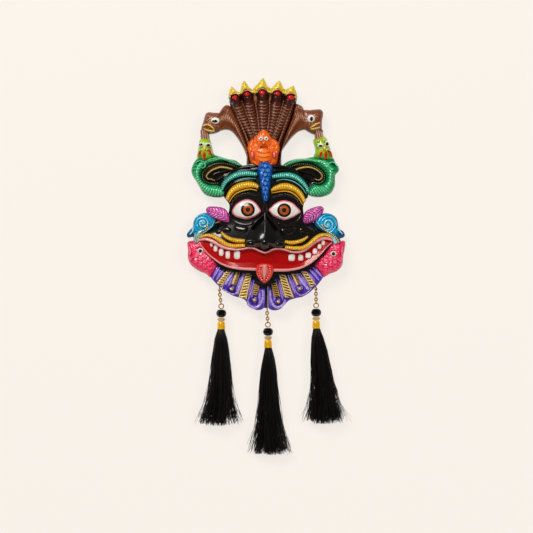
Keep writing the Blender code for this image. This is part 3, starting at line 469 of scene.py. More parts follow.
# The snakes' brown is pale on the scoring's crests and dark in its grooves: rubbed paint, and painted
# highlight and shade.
snake_brown_enamel = pearl_enamel("rubbed and shaded brown enamel", "#2e0f04", "#7e3f1e", "#daae90", 0.1, 0.3)
pinkish_enamel = pearl_enamel("pinkish brown enamel", "#4b2010", "#a06850", "#ecc8b8", 0.15, 0.32)
RIB_PITCH = 3.1
RIB_SAG = 2.2
HOOD_LENGTH = 8
NECKS = [
    ([(235.3, 96), (239, 110), (246, 124), (252, 137), (256.5, 152)], (12.6, 12.6, 10.6, 8.4, 6)),
    ([(247.6, 94), (250, 110), (254, 125), (257.5, 138), (260, 152)], (12.6, 12.6, 10.8, 8.6, 6.4)),
    ([(262.8, 93), (263, 110), (263.3, 125), (263.8, 140)], (13.8, 13.0, 11.2, 9.2)),
    ([(277, 94), (275.5, 110), (272.8, 125), (270, 138), (267.6, 152)], (12.6, 12.6, 10.8, 8.6, 6.4)),
    ([(290, 97), (286, 110.5), (280, 125), (274.5, 138), (271, 152)], (12.8, 12.6, 10.6, 8.4, 6)),
]


def belly_ribs(s, x):
    """Crescents across the neck, RIB_PITCH apart and sagging in the middle, that fade out under the hood."""
    phase = (s - RIB_SAG * (1 - x**2)) / RIB_PITCH
    below_hood = np.clip((s - HOOD_LENGTH) / 4, 0, 1)
    return 1.1 * np.abs(np.sin(math.pi * phase)) ** 3 * below_hood * (1 - 0.3 * x**2)


def strokes(paths, widths, side, crown, sections=60, **how):
    """Strokes of one kind, one along each path."""
    return [stroke(path, widths, side, crown, sections, **how) for path in paths]


crest_left = [(229.6, 94), (229.4, 102), (232.4, 114), (237.4, 126), (242.6, 140), (246.2, 154), (246.6, 168)]
crest_right = [(296.4, 95), (296.4, 102), (293.4, 114), (289, 126), (284.6, 140), (281.6, 154), (281.4, 168)]
crest_back = band((crest_left, crest_right), RIM, 12.6, across=25)
necks = [stroke(path, widths, 9.0, 16.6, 150, across=19, relief=belly_ribs, slope=0.42, worn=0.3)
         for path, widths in NECKS]
OUTER_STRIPS = [[(233.4, 106), (238.6, 119), (244.2, 132), (249.2, 146)],
                [(293, 106), (287.8, 120), (282.4, 134), (278, 147)]]
necks += strokes(OUTER_STRIPS, (3.4, 5.0, 4.4, 3.4), 9.0, 14.6, 110, across=11, relief=belly_ribs, worn=0.3)
enamelled("crest_necks", [crest_back, *necks], brown_enamel)

HOODS = [(235.2, 98.6, 5.9), (247.3, 95.6, 6.4), (262.8, 94.6, 6.9), (277.2, 95.2, 6.3), (290.4, 98.6, 6.0)]
hoods = []
for (path, _), (u, v, half) in zip(NECKS, HOODS):
    hoods.append(dome((u, v), (half, 6.0), 13.0, 5.0, 24, 12))
    widths = (2 * half - 0.6, 2 * half - 0.8, 2 * half - 2)
    hoods.append(stroke(curve(path, 40)[1:8], widths, 9.5, 18.4, 30, ends=2.5))
enamelled("crest_hoods", hoods, dark_brown_enamel)
GEMS = [(235, 97.9, 2.9), (246.9, 94.6, 2.9), (262.3, 93.3, 3.2), (277.5, 94.1, 3.0), (290.7, 98, 3.5)]
enamelled("crest_gems", [dome((u, v), (r, r * 0.82), 16.2, 3.2) for u, v, r in GEMS], red_enamel)

PARTING_RIDGES = [
    [(241.6, 101), (246.2, 113), (251.2, 126), (255.2, 140), (258.3, 152)],
    [(255.2, 100), (257.2, 113), (258.9, 127), (260.3, 140)],
    [(270.2, 100), (269.4, 113), (268.1, 127), (267.0, 140)],
    [(283.8, 101), (280.3, 113), (275.8, 128), (272, 141)],
    [(232.5, 103), (237.5, 116), (243.5, 130), (248.5, 143), (252.5, 158)],
    [(293.2, 103), (288.6, 116), (283, 131), (278.6, 144), (275.6, 158)],
]
ridges = strokes(PARTING_RIDGES, (1.2, 2.1, 1.9), 10.0, 16.3, across=7,
                 relief=lambda s, x: 0.3 * np.sin(2.1 * s))
enamelled("crest_parting_ridges", ridges, pinkish_enamel)

FLAMES = [
    ([(228.6, 98.5), (228.9, 92.5), (231.4, 86.6), (234.3, 88.6), (237.6, 91.4), (240.4, 92.4), (239.6, 95.6),
      (235, 94.4), (231, 95.8)], (233.6, 92.2)),
    ([(239.9, 94.6), (240.8, 89), (242.2, 83.5), (244.2, 80.5), (246.8, 83.5), (249, 87), (251.6, 89.2),
      (251.2, 92.6), (245.4, 90.6)], (245.2, 88.2)),
    ([(252, 93), (252.8, 89), (256.5, 85), (260, 81), (263, 77.8), (265.2, 81), (267.4, 85.8), (270.4, 88.5),
      (270.2, 92.4), (263, 89.4)], (262.6, 86.2)),
    ([(270.3, 93.5), (270.6, 89), (274, 85.8), (276, 83), (279.5, 80.5), (281.6, 83.7), (283.6, 88),
      (285.4, 90), (284.8, 93.8), (278.4, 90.6)], (278.6, 87.6)),
    ([(284.6, 94.6), (285.6, 90), (289, 88), (291, 86.8), (293.5, 85.4), (295.3, 89.5), (297.2, 95),
      (296.8, 99.4), (293.6, 95.6), (289, 93.6)], (291.6, 91.4)),
]


def flame_veins(centre):
    """Fine rays out of the flame's root, crossed by a slow wave."""
    def veins(u, v, r):
        turn = np.arctan2(v - centre[1] - 4, u - centre[0])
        return 0.55 * np.sin(16 * turn + 2.0 * np.sin(1.4 * (v + u))) * r
    return veins


flames = [pad(rim, spot, 10.5, 15.5, 90, 14, relief=flame_veins(spot)) for rim, spot in FLAMES]
crown_line = [(229.5, 97.6), (235, 95.2), (241, 93.4), (247, 91.6), (255, 92.6), (263, 90.6), (271, 92.6),
              (278, 91.4), (285.5, 93.8), (291, 94.8), (296, 98)]
flames.append(stroke(crown_line, (2.4, 3.0, 2.4), 12.0, 16.4, 120,
                     relief=lambda s, x: 0.35 * np.sin(2.4 * s)))
enamelled("crest_flames", flames, yellow_enamel)
arc = np.radians(np.linspace(200, 340, 9))
rim_arcs = [np.stack([u + (r + 2.2) * np.cos(arc), v + 0.4 + (r + 1.2) * np.sin(arc)], axis=-1)
            for u, v, r in GEMS]
hood_rims = strokes(rim_arcs, (0.8, 1.5, 0.8), 15.0, 19.0, 30, across=7, ends=1.0)
enamelled("crest_hood_rims", hood_rims, pinkish_enamel)

# A snake reaches out of the fan to either side and turns its head outwards. Its sides are scored like
# twisted cord, its lips are gold, and a ribbed pinkish stalk joins its chin to the bird's head below.
gold_enamel = pearl_enamel("old gold enamel", "#4a2c04", "#d9a41e", "#fae48a", 0.45, 0.3)
white_enamel = gloss_enamel("white enamel", "#f8f8f4", 0.2, 0.6, 0.1)
SCORING_PITCH = 2.3


def cord_scoring(s, x):
    """Slanting lines, SCORING_PITCH apart, that run up from both edges to the middle, over two lengthwise
    grooves."""
    slanting = np.sin(2 * math.pi * (s / SCORING_PITCH + 1.3 * np.abs(x)))
    return 0.5 * slanting * (1 - x**4) + 0.35 * np.cos(7 * x)


def dented(depth, pitch):
    """Shallow dents every way, fading at the centre: two sines, each bent by the other direction's."""
    def shape(u, v, r):
        x, y = 2 * math.pi * u / pitch, 2 * math.pi * v / pitch
        return depth * np.sin(x + 1.7 * np.sin(0.77 * y)) * np.sin(y + 1.3 * np.sin(0.9 * x)) * r**0.3
    return shape


left_top = [(249, 167), (248, 150), (244, 137), (239, 124), (235, 115), (231.6, 109), (229.4, 105.6),
            (225.8, 104.9), (222.6, 107.4), (219, 112.6)]
left_low = [(247.6, 164), (246.4, 156.5), (243.8, 149), (239.6, 141.5), (235.2, 135.2), (231, 131),
            (226.5, 129.6), (222.5, 130), (218, 131.8), (214.5, 132.6)]
right_top = [(279, 168), (281, 152), (284.4, 139), (288.6, 127), (293, 115), (295.3, 104.2), (299.5, 104.6),
             (302.6, 106.8), (304.5, 110.8)]
right_low = [(281.0, 164), (280.7, 156), (282.6, 150), (286.4, 144.6), (291.2, 138.2), (297, 132.6),
             (300.5, 130.6), (304.5, 129.8), (309, 131.6)]
snake_bodies = [band(pair, 8.0, 14.6, 170, 23, relief=cord_scoring)
                for pair in ((left_top, left_low), (right_top, right_low))]
LEFT_SNAKE = [(221, 113.2), (213, 112.4), (209, 111.9), (206, 113.2), (204.4, 117), (203, 122), (201.2, 128),
              (201.4, 132.4), (208, 133.8), (214, 133.4), (220, 131), (224.6, 126), (225, 118)]
RIGHT_SNAKE = [(302.5, 110.6), (310, 109.8), (316, 109.2), (320.5, 109.2), (322.8, 111.4), (323.2, 115),
               (322.2, 121), (322.2, 128), (323.2, 132), (319, 134.2), (313.5, 134.2), (308, 131.6),
               (302.5, 127), (299.6, 120)]
snake_heads = [pad(rim, spot, 8.5, 16.5, 130, 26, relief=dented(0.4, 2.6))
               for rim, spot in ((LEFT_SNAKE, (212.5, 121.5)), (RIGHT_SNAKE, (312, 120.5)))]
enamelled("side_snakes", [*snake_bodies, *snake_heads], snake_brown_enamel)

STALKS = [([(204.4, 130), (205.2, 140.5)], (8.6, 9.4)), ([(317.4, 128.5), (319.6, 138.5)], (7.6, 9.6))]
stalks = [stroke(path, widths, 8.0, 14.0, 30, across=25, relief=lambda s, x: 0.5 * np.sin(13 * x))
          for path, widths in STALKS]
enamelled("snake_stalks", stalks, pinkish_enamel)
SNAKE_EYES = [((215.3, 121.0), (4.6, 3.4)), ((311.0, 119.0), (4.0, 3.9))]
SNAKE_PUPILS = [((215.0, 121.5), (2.9, 1.5)), ((311.3, 119.2), (1.8, 2.4))]
enamelled("snake_eyes", [dome(spot, radii, 15.3, 2.6) for spot, radii in SNAKE_EYES], white_enamel)
enamelled("snake_pupils", [dome(spot, radii, 17.0, 1.6) for spot, radii in SNAKE_PUPILS], black_enamel)
SNAKE_LIPS = [
    [(203.4, 126.6), (205.6, 125.2), (209, 125.2), (212, 127.3), (215, 130.2)],
    [(203.6, 128.6), (207, 130.2), (211, 131.2), (215, 130.6)],
    [(309.6, 128.2), (313, 126.4), (316, 124.4), (320, 122.8)],
    [(310, 129.2), (315, 128.8), (320, 127.6)],
]
enamelled("snake_lips", strokes(SNAKE_LIPS, (1.8, 3.2, 1.8), 12.5, 17.4, 30, across=9, ends=1.0), gold_enamel)

# The small seated figure in front of the fan is orange all over, pressed with a modelling tool, with two
# white bead eyes, a slit mouth, folds over its belly and a pink dab on each forearm.
orange_enamel = pearl_enamel("orange enamel", "#c63402", "#fa6a0a", "#ff9438", 0.05, 0.42)
rose_enamel = pearl_enamel("rose enamel", "#a81c2c", "#e0444e", "#f98a8c", 0.1, 0.34)
FIGURE = [
    (264, 128.8), (260, 131), (256, 134), (252, 138), (249.3, 142), (247.9, 147), (248.3, 153), (250, 160),
    (252, 164.4), (256, 167.4), (262, 168), (270, 167.6), (273.2, 166), (275.9, 164.6), (277.4, 160.5),
    (278.4, 155), (278.9, 149), (278.2, 144), (276, 139.8), (272.6, 137.6), (270, 134.6), (267, 130.8),
]
HEAD = [(263.9, 129), (260.2, 131.6), (256.8, 135), (254.4, 139), (254, 143.4), (256.2, 147.6), (260, 150.2),
        (264, 150.8), (268.4, 150), (271.8, 147.2), (273.2, 143), (272.2, 138.8), (270, 135), (267, 131.4)]
BELLY_FOLDS = [[(257, 151.6), (263.5, 153.2), (270, 151.6)], [(257.4, 156), (263.5, 157.6), (269.6, 156)],
               [(258.4, 160.4), (263.5, 161.8), (268.8, 160.4)]]
FOREARMS = [[(253.6, 140), (250.9, 146), (250.9, 151), (254, 159.5)],
            [(271.6, 139.6), (275.9, 145), (276.2, 151), (272.8, 159.5)]]
LEGS = [[(253, 162.4), (257.6, 165.2), (262, 163.4)], [(274, 161.6), (270, 165), (265.6, 163.6)]]


def pressed_clay(s, x):
    """Soft dents left by the tool, about 5 units apart."""
    return 0.4 * np.sin(1.3 * s + 3 * x) * np.cos(2.1 * x)


figure = [
    pad(FIGURE, (263.5, 149), 12.5, 18.7, 150, 30, slope=0.3, relief=dented(0.6, 4.2)),
    pad(HEAD, (263.6, 141), 14.5, 20.8, 90, 22, relief=dented(0.4, 4.6)),
    dome((263.3, 156), (9.6, 9.6), 16.8, 4.0, 40, 24),
    dome((263.6, 143.4), (1.7, 1.5), 21.4, 1.6),
    *strokes(FOREARMS, (6.0, 6.8, 5.0), 12.5, 18.4, 50, ends=2.2, relief=pressed_clay),
    *strokes(BELLY_FOLDS, (1.2, 2.4, 1.2), 18.6, 21.9, 24, across=7, ends=1.2),
    *strokes(LEGS, (1.4, 2.0, 1.4), 14.5, 19.2, 24, across=7, ends=1.2),
]
enamelled("seated_figure", figure, orange_enamel)
DABS = [((252.4, 155.2), (1.9, 4.0)), ((274.2, 155.2), (1.9, 3.7))]
enamelled("figure_cheeks", [dome(spot, radii, 18.9, 1.9) for spot, radii in DABS], rose_enamel)
burnt_orange_enamel = pearl_enamel("burnt orange enamel", "#7c1e06", "#b03a0c", "#d8601e", 0.05, 0.4)
slit = stroke([(258.9, 147.6), (261.4, 146.2), (264, 146.8), (267.2, 146.4)], (0.7, 1.5, 0.7), 20.0, 22.0, 24,
              across=7, ends=0.8)
enamelled("figure_mouth", [slit], burnt_orange_enamel)
FIGURE_EYES = [(260.9, 139.4), (266.2, 139.3)]
enamelled("figure_eyes", [dome(spot, (2.2, 2.2), 21.3, 1.6) for spot in FIGURE_EYES], white_enamel)
slate_enamel = gloss_enamel("slate enamel", "#2a3440", 0.2, 0.8, 0.1)
enamelled("figure_pupils", [dome(spot, (0.95, 0.95), 22.6, 0.8, 12, 6) for spot in FIGURE_EYES], slate_enamel)

# The drop between the brows is widest at the top and runs down to the nose. It is modelled as rows of lapped
# scales and painted metallic blue, paler on the scales' raised edges, partly rubbed paint and partly painted
# highlight.
blue_enamel = pearl_enamel("pearly blue enamel", "#001c68", "#0664d0", "#94d4ff", 0.1, 0.2)
SCALE_PITCH = 4.4
DROP_WIDTHS = (5, 12.4, 15.4, 16.2, 16, 15, 13.8, 12.6, 12, 11.6, 11, 10.4, 9.6, 8.6, 7.8, 7, 6, 3.2)


def scales(s, x):
    """Rows of scales, every second row moved by half a scale: each rises to its lower edge and drops."""
    row = s / SCALE_PITCH - 0.45 * np.abs(np.sin(math.pi * (1.6 * x + 0.5 * np.floor(s / SCALE_PITCH))))
    return 2.3 * (row - np.floor(row)) ** 1.4 * (1 - x**4)


DROP_LINE = [(265.2, 161.8), (265.2, 175), (265.4, 188), (265.7, 202.4)]
drop = stroke(DROP_LINE, DROP_WIDTHS, 16.5, 24.4, 190, across=33, relief=scales, ends=2.0)
enamelled("forehead_drop", [drop], blue_enamel)

# The emerald arms curl round the ears. Their upper edge runs smooth and doubled, and from the elbow down
# they are fluted: the flutes fan out from the ear like pleats.
emerald_enamel = pearl_enamel("pearly emerald enamel", "#00582c", "#049a5a", "#70ecb4", 0.2, 0.22)
LEFT_OUTER = [
    (242.5, 165), (235, 160), (228, 158.8), (220, 156.4), (214, 155), (206, 158.6), (198, 158), (193.5, 163),
    (191.2, 170), (192.4, 175.5), (195.2, 180), (199.2, 186.6), (201.6, 191), (205, 194.6), (210, 196.6),
    (216, 197.5), (221, 197.4), (224, 196.6),
]
LEFT_INNER = [
    (242, 166.4), (237, 166.8), (231, 164), (226, 162.2), (220, 162), (214, 163), (208, 166), (204.5, 168.4),
    (202, 171.6), (200.9, 175), (201.6, 178.6), (204, 181.8), (207.5, 183.8), (211, 184.6), (215, 184.4),
    (218.5, 185.2), (221.4, 187), (223, 190),
]
RIGHT_OUTER = [
    (281.5, 166.6), (285, 163), (290, 160.4), (297, 158.6), (305, 158.2), (313, 156.8), (322, 157.2),
    (332.5, 157.6), (335.4, 162), (338.2, 166), (339.2, 169.4), (338, 172.4), (335.5, 175.4),
    (335.2, 184), (333.5, 189.4), (330.8, 193.4), (325.6, 196), (320, 197.2), (314, 196.9), (309, 195.8),
]
RIGHT_INNER = [
    (282.3, 168), (287, 167.7), (291, 165.8), (295, 164), (299, 162.8), (305, 162.6), (310, 163.3),
    (314, 164.9), (319, 167.5), (323, 170.8), (325.6, 174.4), (326.2, 178), (325, 181.2), (322.3, 183.7),
    (319, 184.7), (315.6, 184.1), (312.6, 184), (310.6, 186.4), (309.2, 189.4), (308.6, 191.4),
]


def flutes(elbow, pitch):
    """Lengthwise lines on the upper arm, which give way past the elbow to flutes across it."""
    def shape(s, x):
        past = np.clip((s - elbow) / 6, 0, 1)
        across = 0.95 * np.abs(np.sin(math.pi * (s / pitch + 0.16 * x))) ** 1.6 * (1 - 0.35 * x**2)
        along = 0.75 * np.cos(4.2 * x - 0.6) + 0.3 * np.sin(2 * math.pi * (s / 3.3 + 0.4 * x))
        return past * across + (1 - past) * along * (1 - x**6)
    return shape


arms = [band((LEFT_OUTER, LEFT_INNER), 8.0, 14.6, 300, 27, relief=flutes(54, 2.5)),
        band((RIGHT_OUTER, RIGHT_INNER), 8.0, 14.6, 300, 27, relief=flutes(70, 2.5))]
SWIRLS = [[(196, 163), (199.5, 161), (204, 162.4), (205.4, 166), (202.4, 168.4), (199.4, 166.8)],
          [(337, 166.6), (333.6, 162.8), (329.6, 163.4), (328, 167), (330.8, 170), (334, 168.8)]]
arms += strokes(SWIRLS, (1.2, 2.6, 1.6), 11.0, 16.6, across=9, ends=1.5)
TOP_LINES = [[(238, 164.4), (230, 160.6), (221, 158.9), (213, 158.8), (206, 161.4)],
             [(286, 166), (293, 161.6), (301, 160.2), (310, 160.2), (319, 162.4)]]
arms += strokes(TOP_LINES, (1.6, 2.8, 2.2), 11.0, 16.4, 70, across=9, ends=2.0)
enamelled("emerald_arms", arms, emerald_enamel)

# The ears lie inside the curls and are cast with them: gloss black shells with a raised rim, a row of silver
# dots on the rim, and a gold line painted along the fold.
LEFT_EAR = [(241, 166.6), (236, 165.6), (230, 163.2), (224, 161.9), (218, 161.9), (212, 163.3), (206, 166.6),
            (202, 170.6), (200.4, 175), (201.4, 179.4), (204.6, 183), (209.4, 185), (215, 185.2), (220, 187),
            (224.6, 190), (226, 180), (231, 173), (238, 169.4)]
RIGHT_EAR = [(284, 168), (289, 166.4), (294, 164), (300, 162.4), (306, 162.3), (312, 163.7), (319, 167.2),
             (324.2, 171.6), (326.6, 176.6), (325.8, 181.4), (322.6, 184.5), (318, 185.4), (313.6, 184.4),
             (310.4, 188), (308.6, 192), (306, 184), (300, 175.6), (292, 170)]
ears = [pad(rim, spot, 8.5, 9.5, 140, 18, relief=lambda u, v, r: 1.6 * np.clip((r - 0.55) / 0.3, 0, 1))
        for rim, spot in ((LEFT_EAR, (217, 174)), (RIGHT_EAR, (312, 174)))]
LEFT_RIM = [(238, 167.6), (233, 165.6), (228, 163.9), (222, 163.2), (216, 163.6), (210, 166), (205.4, 169.4),
            (202.8, 173), (202.5, 177), (204.4, 180.6), (208.4, 182.8), (213, 183.3), (217.6, 183.2)]
RIGHT_RIM = [(287, 168.2), (292, 166.2), (297, 164.4), (303, 163.9), (309, 164.6), (314.6, 166.6), (320, 170),
             (323.8, 174.2), (324.4, 178.4), (322.4, 181.8), (318.4, 183.4), (314.4, 182.4)]
ears += strokes((LEFT_RIM, RIGHT_RIM), (2.6, 3.0, 2.6), 9.5, 12.6, 90, across=9, ends=2.0)
LEFT_HOLLOW = [(236, 169.4), (229, 170.6), (221, 171.8), (214, 174.4), (212.6, 178.2), (218, 179.6),
               (224, 176)]
RIGHT_HOLLOW = [(292, 170), (299, 171.2), (307, 172.2), (314.6, 174.8), (316.4, 178), (311, 180), (303, 176)]
ears += strokes((LEFT_HOLLOW, RIGHT_HOLLOW), (1.4, 3.0, 2.0), 9.6, 12.8, 70, across=9, ends=2.0)
enamelled("ears", ears, black_enamel)


def bead_row(path, radius, h, count, ground=flat, rise=None, around=8, rows=5):
    """Small domes set along a path, evenly."""
    spots = curve(path, count)
    heights = ground(spots[:, 0], spots[:, 1]) + h
    return [dome(spot, (radius, radius), z, rise or radius, around, rows) for spot, z in zip(spots, heights)]


silver_enamel = pearl_enamel("silver dots of enamel", "#4a4643", "#8c8682", "#d8d2cc", 0.3, 0.3)
ear_beads = bead_row(LEFT_RIM, 0.5, 12.6, 34) + bead_row(RIGHT_RIM, 0.5, 12.6, 31)
enamelled("ear_beads", ear_beads, silver_enamel)
EAR_LINES = [[(233, 169.6), (227, 167.9), (221, 167.2), (215.6, 168.6), (211, 171), (207.6, 174),
              (206.4, 176.9), (208.4, 179), (211.6, 179.4), (215.4, 181)],
             [(295.4, 169.8), (301.6, 167.9), (308, 167.1), (314, 168.6), (319, 171.6), (321.9, 175.2),
              (321.6, 178.4), (318.4, 180.2), (314.6, 179)]]
ear_lines = strokes(EAR_LINES, (2.4, 2.6, 2.2, 1.8, 1.2), 10.0, 14.0, 90, across=9, ends=1.4)
enamelled("ear_lines", ear_lines, gold_enamel)

# A lime bird's head stands on each arm: ringed eyes that squint sideways, a yellow beak and red wattles, all
# modelled in the same filler and picked out with a fine brush.
lime_enamel = pearl_enamel("lime enamel", "#4f8206", "#96cc14", "#e2f66a", 0.1, 0.28)
LEFT_BIRD = [(205, 137), (201, 138.2), (199, 141.6), (198, 149), (196.8, 157), (199, 160), (203, 161.4),
             (208, 160.4), (214.6, 156.2), (213, 151.4), (211.9, 146.5), (210.6, 141), (209, 138.2)]
RIGHT_BIRD = [(320.5, 135.6), (325, 136.8), (328, 141), (330.4, 149), (333, 157.6), (329, 160.8), (324, 161),
              (318.6, 159.4), (313.4, 157.8), (315.2, 150), (313.2, 140.6), (316.4, 137.4)]
birds = [pad(rim, spot, 8.5, 17.5, 110, 22, relief=dented(0.3, 3.0))
         for rim, spot in ((LEFT_BIRD, (205.3, 149)), (RIGHT_BIRD, (321.8, 149)))]
enamelled("bird_heads", birds, lime_enamel)
BIRD_EYES = [((201.7, 145), (3.0, 2.3)), ((208.2, 145.1), (3.0, 2.3)),
             ((320.4, 146), (3.3, 2.6)), ((327, 144.2), (2.4, 3.1))]
BIRD_PUPILS = [((201.2, 145.0), (2.0, 1.3)), ((208.3, 145.5), (2.0, 1.5)),
               ((320.4, 146.3), (2.2, 1.3)), ((326.9, 144.3), (1.6, 2.0))]
enamelled("bird_eyes", [dome(spot, radii, 16.4, 2.4) for spot, radii in BIRD_EYES], white_enamel)
enamelled("bird_pupils", [dome(spot, radii, 18.0, 1.5, 16, 8) for spot, radii in BIRD_PUPILS], black_enamel)
BEAKS = [[(205, 146.6), (204.8, 151)], [(324.2, 146.4), (324.6, 150.6)]]
BEAK_FOLDS = [[(202, 148.6), (203.8, 151.4)], [(208, 148.8), (206, 151.4)], [(321, 149.6), (323.2, 151.6)],
              [(327.6, 148.8), (325.8, 151.4)]]
TUFTS = [[(319, 139.6), (317.6, 142.6)], [(323.4, 139), (323.4, 142)]]
beaks = strokes(BEAKS, (2.8, 3.8, 1.6), 16.0, 20.0, 20, ends=1.5)
beaks += strokes(BEAK_FOLDS + TUFTS, (1.6, 2.2, 1.6), 16.0, 18.6, 20, ends=1.0)
enamelled("bird_beaks", beaks, yellow_enamel)
WATTLES = [
    ([(200.4, 150.4), (199.2, 153.4), (198.5, 156)], (1.6, 2.8, 2.0)),
    ([(204.5, 152), (204.4, 156), (203.6, 160.2)], (2.0, 3.6, 2.2)),
    ([(208.2, 149.4), (210.4, 152), (211.6, 155.6)], (1.8, 3.2, 2.2)),
    ([(321.6, 151.4), (320.6, 154.4), (319.4, 157.8)], (1.8, 3.0, 2.2)),
    ([(325.6, 151.6), (325.9, 155.4), (325.9, 159.6)], (2.0, 3.4, 2.2)),
    ([(328.8, 150.4), (330.6, 153.4), (331.7, 157.2)], (1.6, 2.8, 2.0)),
]
wattles = [stroke(path, widths, 14.5, 19.6, 30, ends=1.2) for path, widths in WATTLES]
enamelled("bird_wattles", wattles, red_enamel)

# Over the forehead run black, teal and gold arches, modelled as soft cords. The wide teal and gold ones are
# scored across every 2 to 3 mm. The gold brows are doubled: a thick ribbed cord over a thin one.
teal_enamel = pearl_enamel("pearly teal enamel", "#004640", "#0a9a90", "#90f0e4", 0.2, 0.2)
gold_brow_enamel = pearl_enamel("pearly gold enamel", "#704404", "#e8a808", "#ffe450", 0.2, 0.22)


def score(pitch, depth):
    """Grooves straight across, a pitch apart, that round off what is between them."""
    return lambda s, x: depth * np.abs(np.sin(math.pi * s / pitch)) ** 0.6 * (1 - 0.5 * x**2)


BLACK_ARCHES = [
    [(222.4, 181), (227, 176), (233, 172.6), (241, 170.6), (250, 170.0), (257.6, 170.6)],
    [(272.6, 170.8), (281, 170), (290, 170.8), (298, 173.4), (304.6, 178.4), (309, 185)],
    [(231, 171.2), (239, 168.2), (248, 166.6), (257.6, 166)],
    [(272.8, 166.2), (282, 166.8), (291, 168.8), (299, 173)],
    [(223.6, 194.6), (226.6, 189), (232, 184.6), (239, 181.6), (247, 180.2), (255.4, 181.6)],
    [(275.6, 182.4), (284, 181.6), (292, 183), (299, 187), (304, 192.6), (307.4, 198)],
]
ON_FACE = {"ground": face, "foot": -1.5}
arches = strokes(BLACK_ARCHES, (2.4, 3.4, 2.2), 0.6, 3.0, 90, across=9, ends=2.0, **ON_FACE)
LIDS = [
    [(231.6, 206), (233.6, 200.6), (238, 196.4), (244, 194.4), (251, 194.4), (257, 197)],
    [(272.4, 198.6), (278, 195.8), (285, 194.8), (292, 196.4), (297.4, 200.4), (300.6, 205.6)],
]
UNDER_EYES = [
    [(228.6, 214), (232, 219.6), (239, 223.6), (247, 224.6), (254.6, 222.4)],
    [(277, 223.2), (285, 225.4), (293, 223.8), (299.4, 219), (302, 213)],
]
CREASE_WIDTHS = (2.0, 4.6, 2.0)
arches += strokes(LIDS, CREASE_WIDTHS, 0.0, 1.5, 200, across=11, ends=3.0, relief=score(1.5, 0.5), **ON_FACE)
arches += strokes(UNDER_EYES, CREASE_WIDTHS, -0.4, 1.5, across=11, ends=3.0, ground=face, foot=-2.0)
enamelled("forehead_arches", arches, black_enamel)

TEAL_MAIN = [
    [(257.6, 174.8), (250, 173.8), (243, 173.6), (236, 175.2), (230, 178.2), (225, 182.6), (222.2, 188.4),
     (221.6, 191)],
    [(271.6, 177.4), (278, 176), (284, 175.4), (291, 175.8), (297, 178.2), (302.4, 182.4), (306.4, 187.2),
     (308.6, 193)],
]
TEAL_THIN = [
    [(256, 179.2), (248, 178.6), (241, 179.8), (234, 182.8), (228, 187), (224.6, 191.4)],
    [(276, 181), (284, 179.8), (291, 181), (297.4, 184.2), (302.4, 188.4), (306.4, 194.6)],
]
teal = strokes(TEAL_MAIN, (4.4, 6.0, 6.4, 5.6, 3.6), 1.2, 4.8, 200, relief=score(2.0, 0.7), ends=1.5,
               **ON_FACE)
teal += strokes(TEAL_THIN, (1.0, 1.7, 1.2), 1.0, 2.6, 90, across=7, ends=1.0, **ON_FACE)
enamelled("teal_arches", teal, teal_enamel)

BROWS = [
    ([(225.4, 198.6), (228, 192), (232, 187), (238, 183.5), (244, 182), (250, 181.6), (256, 183.3),
      (259.8, 186.4)],
     [(228.6, 201.8), (231, 197), (235, 192.8), (240, 190.4), (245, 188.8), (250, 188.2), (255, 188.6),
      (258, 190)]),
    ([(270.4, 189.6), (275, 186), (281, 183.5), (287, 183.2), (293, 185), (299, 189), (303.4, 194),
      (306.2, 200.6)],
     [(271, 192.6), (275.6, 191.4), (281, 190.3), (287, 190.2), (293, 192), (298, 196), (301.2, 200.4),
      (303.2, 204.4)]),
]
brows = [band(pair, 1.4, 5.8, 240, 15, relief=score(2.3, 0.7), ends=2.0, **ON_FACE) for pair in BROWS]
BROW_LINES = [
    [(229.2, 202.6), (231.8, 198.2), (236, 194), (241, 191.6), (246, 190.2), (251, 189.6), (257.4, 191)],
    [(271.4, 193.4), (276, 192.6), (281.4, 191.6), (287, 191.6), (292.4, 193.4), (297.2, 197.2),
     (300.6, 201.6), (302.4, 205.2)],
]
brows += strokes(BROW_LINES, (1.2, 1.8, 1.8, 1.2), 1.2, 3.4, 110, across=7, ends=1.0, relief=score(1.8, 0.3),
                 **ON_FACE)
enamelled("gold_brows", brows, gold_brow_enamel)

# The eyes are painted on domes in almond sockets: a pink rim, a glossy white, a black ring round an
# orange iris, and a dark pupil.
pink_rim_enamel = gloss_enamel("pink enamel", "#ea7f90", 0.18, 0.8, 0.1)
LEFT_LIDS = [(231.8, 211.6), (233.4, 207.4), (236, 204.2), (241.5, 200.4), (248, 199.1), (254.6, 201.8),
             (258.6, 206.2), (261.2, 211.4), (258.6, 214.8), (254.6, 217.4), (247, 219.7), (238.5, 218),
             (233.6, 215.2)]
RIGHT_LIDS = [(268.4, 210.4), (271, 207), (274.4, 203.8), (279, 201.2), (285, 200.3), (292, 202.4),
              (296.6, 206.4), (300.8, 211.8), (297.6, 215), (293.6, 217.6), (284.5, 220.6), (275.6, 217.6),
              (271.4, 214.4)]
EYES = [((247.1, 209.6), LEFT_LIDS, (248.0, 210.0)), ((284.5, 210.6), RIGHT_LIDS, (284.1, 210.6))]


def shrunk(outline, centre, inset):
    """The outline moved in towards its centre by about inset."""
    line = np.array(outline, float) - centre
    return line * (1 - inset / np.linalg.norm(line, axis=1))[:, None] + centre


rims = [pad(shrunk(rim, spot, 0.4), spot, 1.6, 1.6, 120, 10,
            relief=lambda u, v, r: 0.9 * np.clip(r - 0.8, 0, 1) / 0.2, **ON_FACE) for spot, rim, _ in EYES]
enamelled("eye_rims", rims, pink_rim_enamel)


def eye_dome(centre):
    """The eyeball, half an ellipsoid 4.2 units high that bulges over the socket."""
    return lambda u, v: face(u, v) + 1.5 + bulge(u, v, (centre, (15.5, 9.6), 4.2))


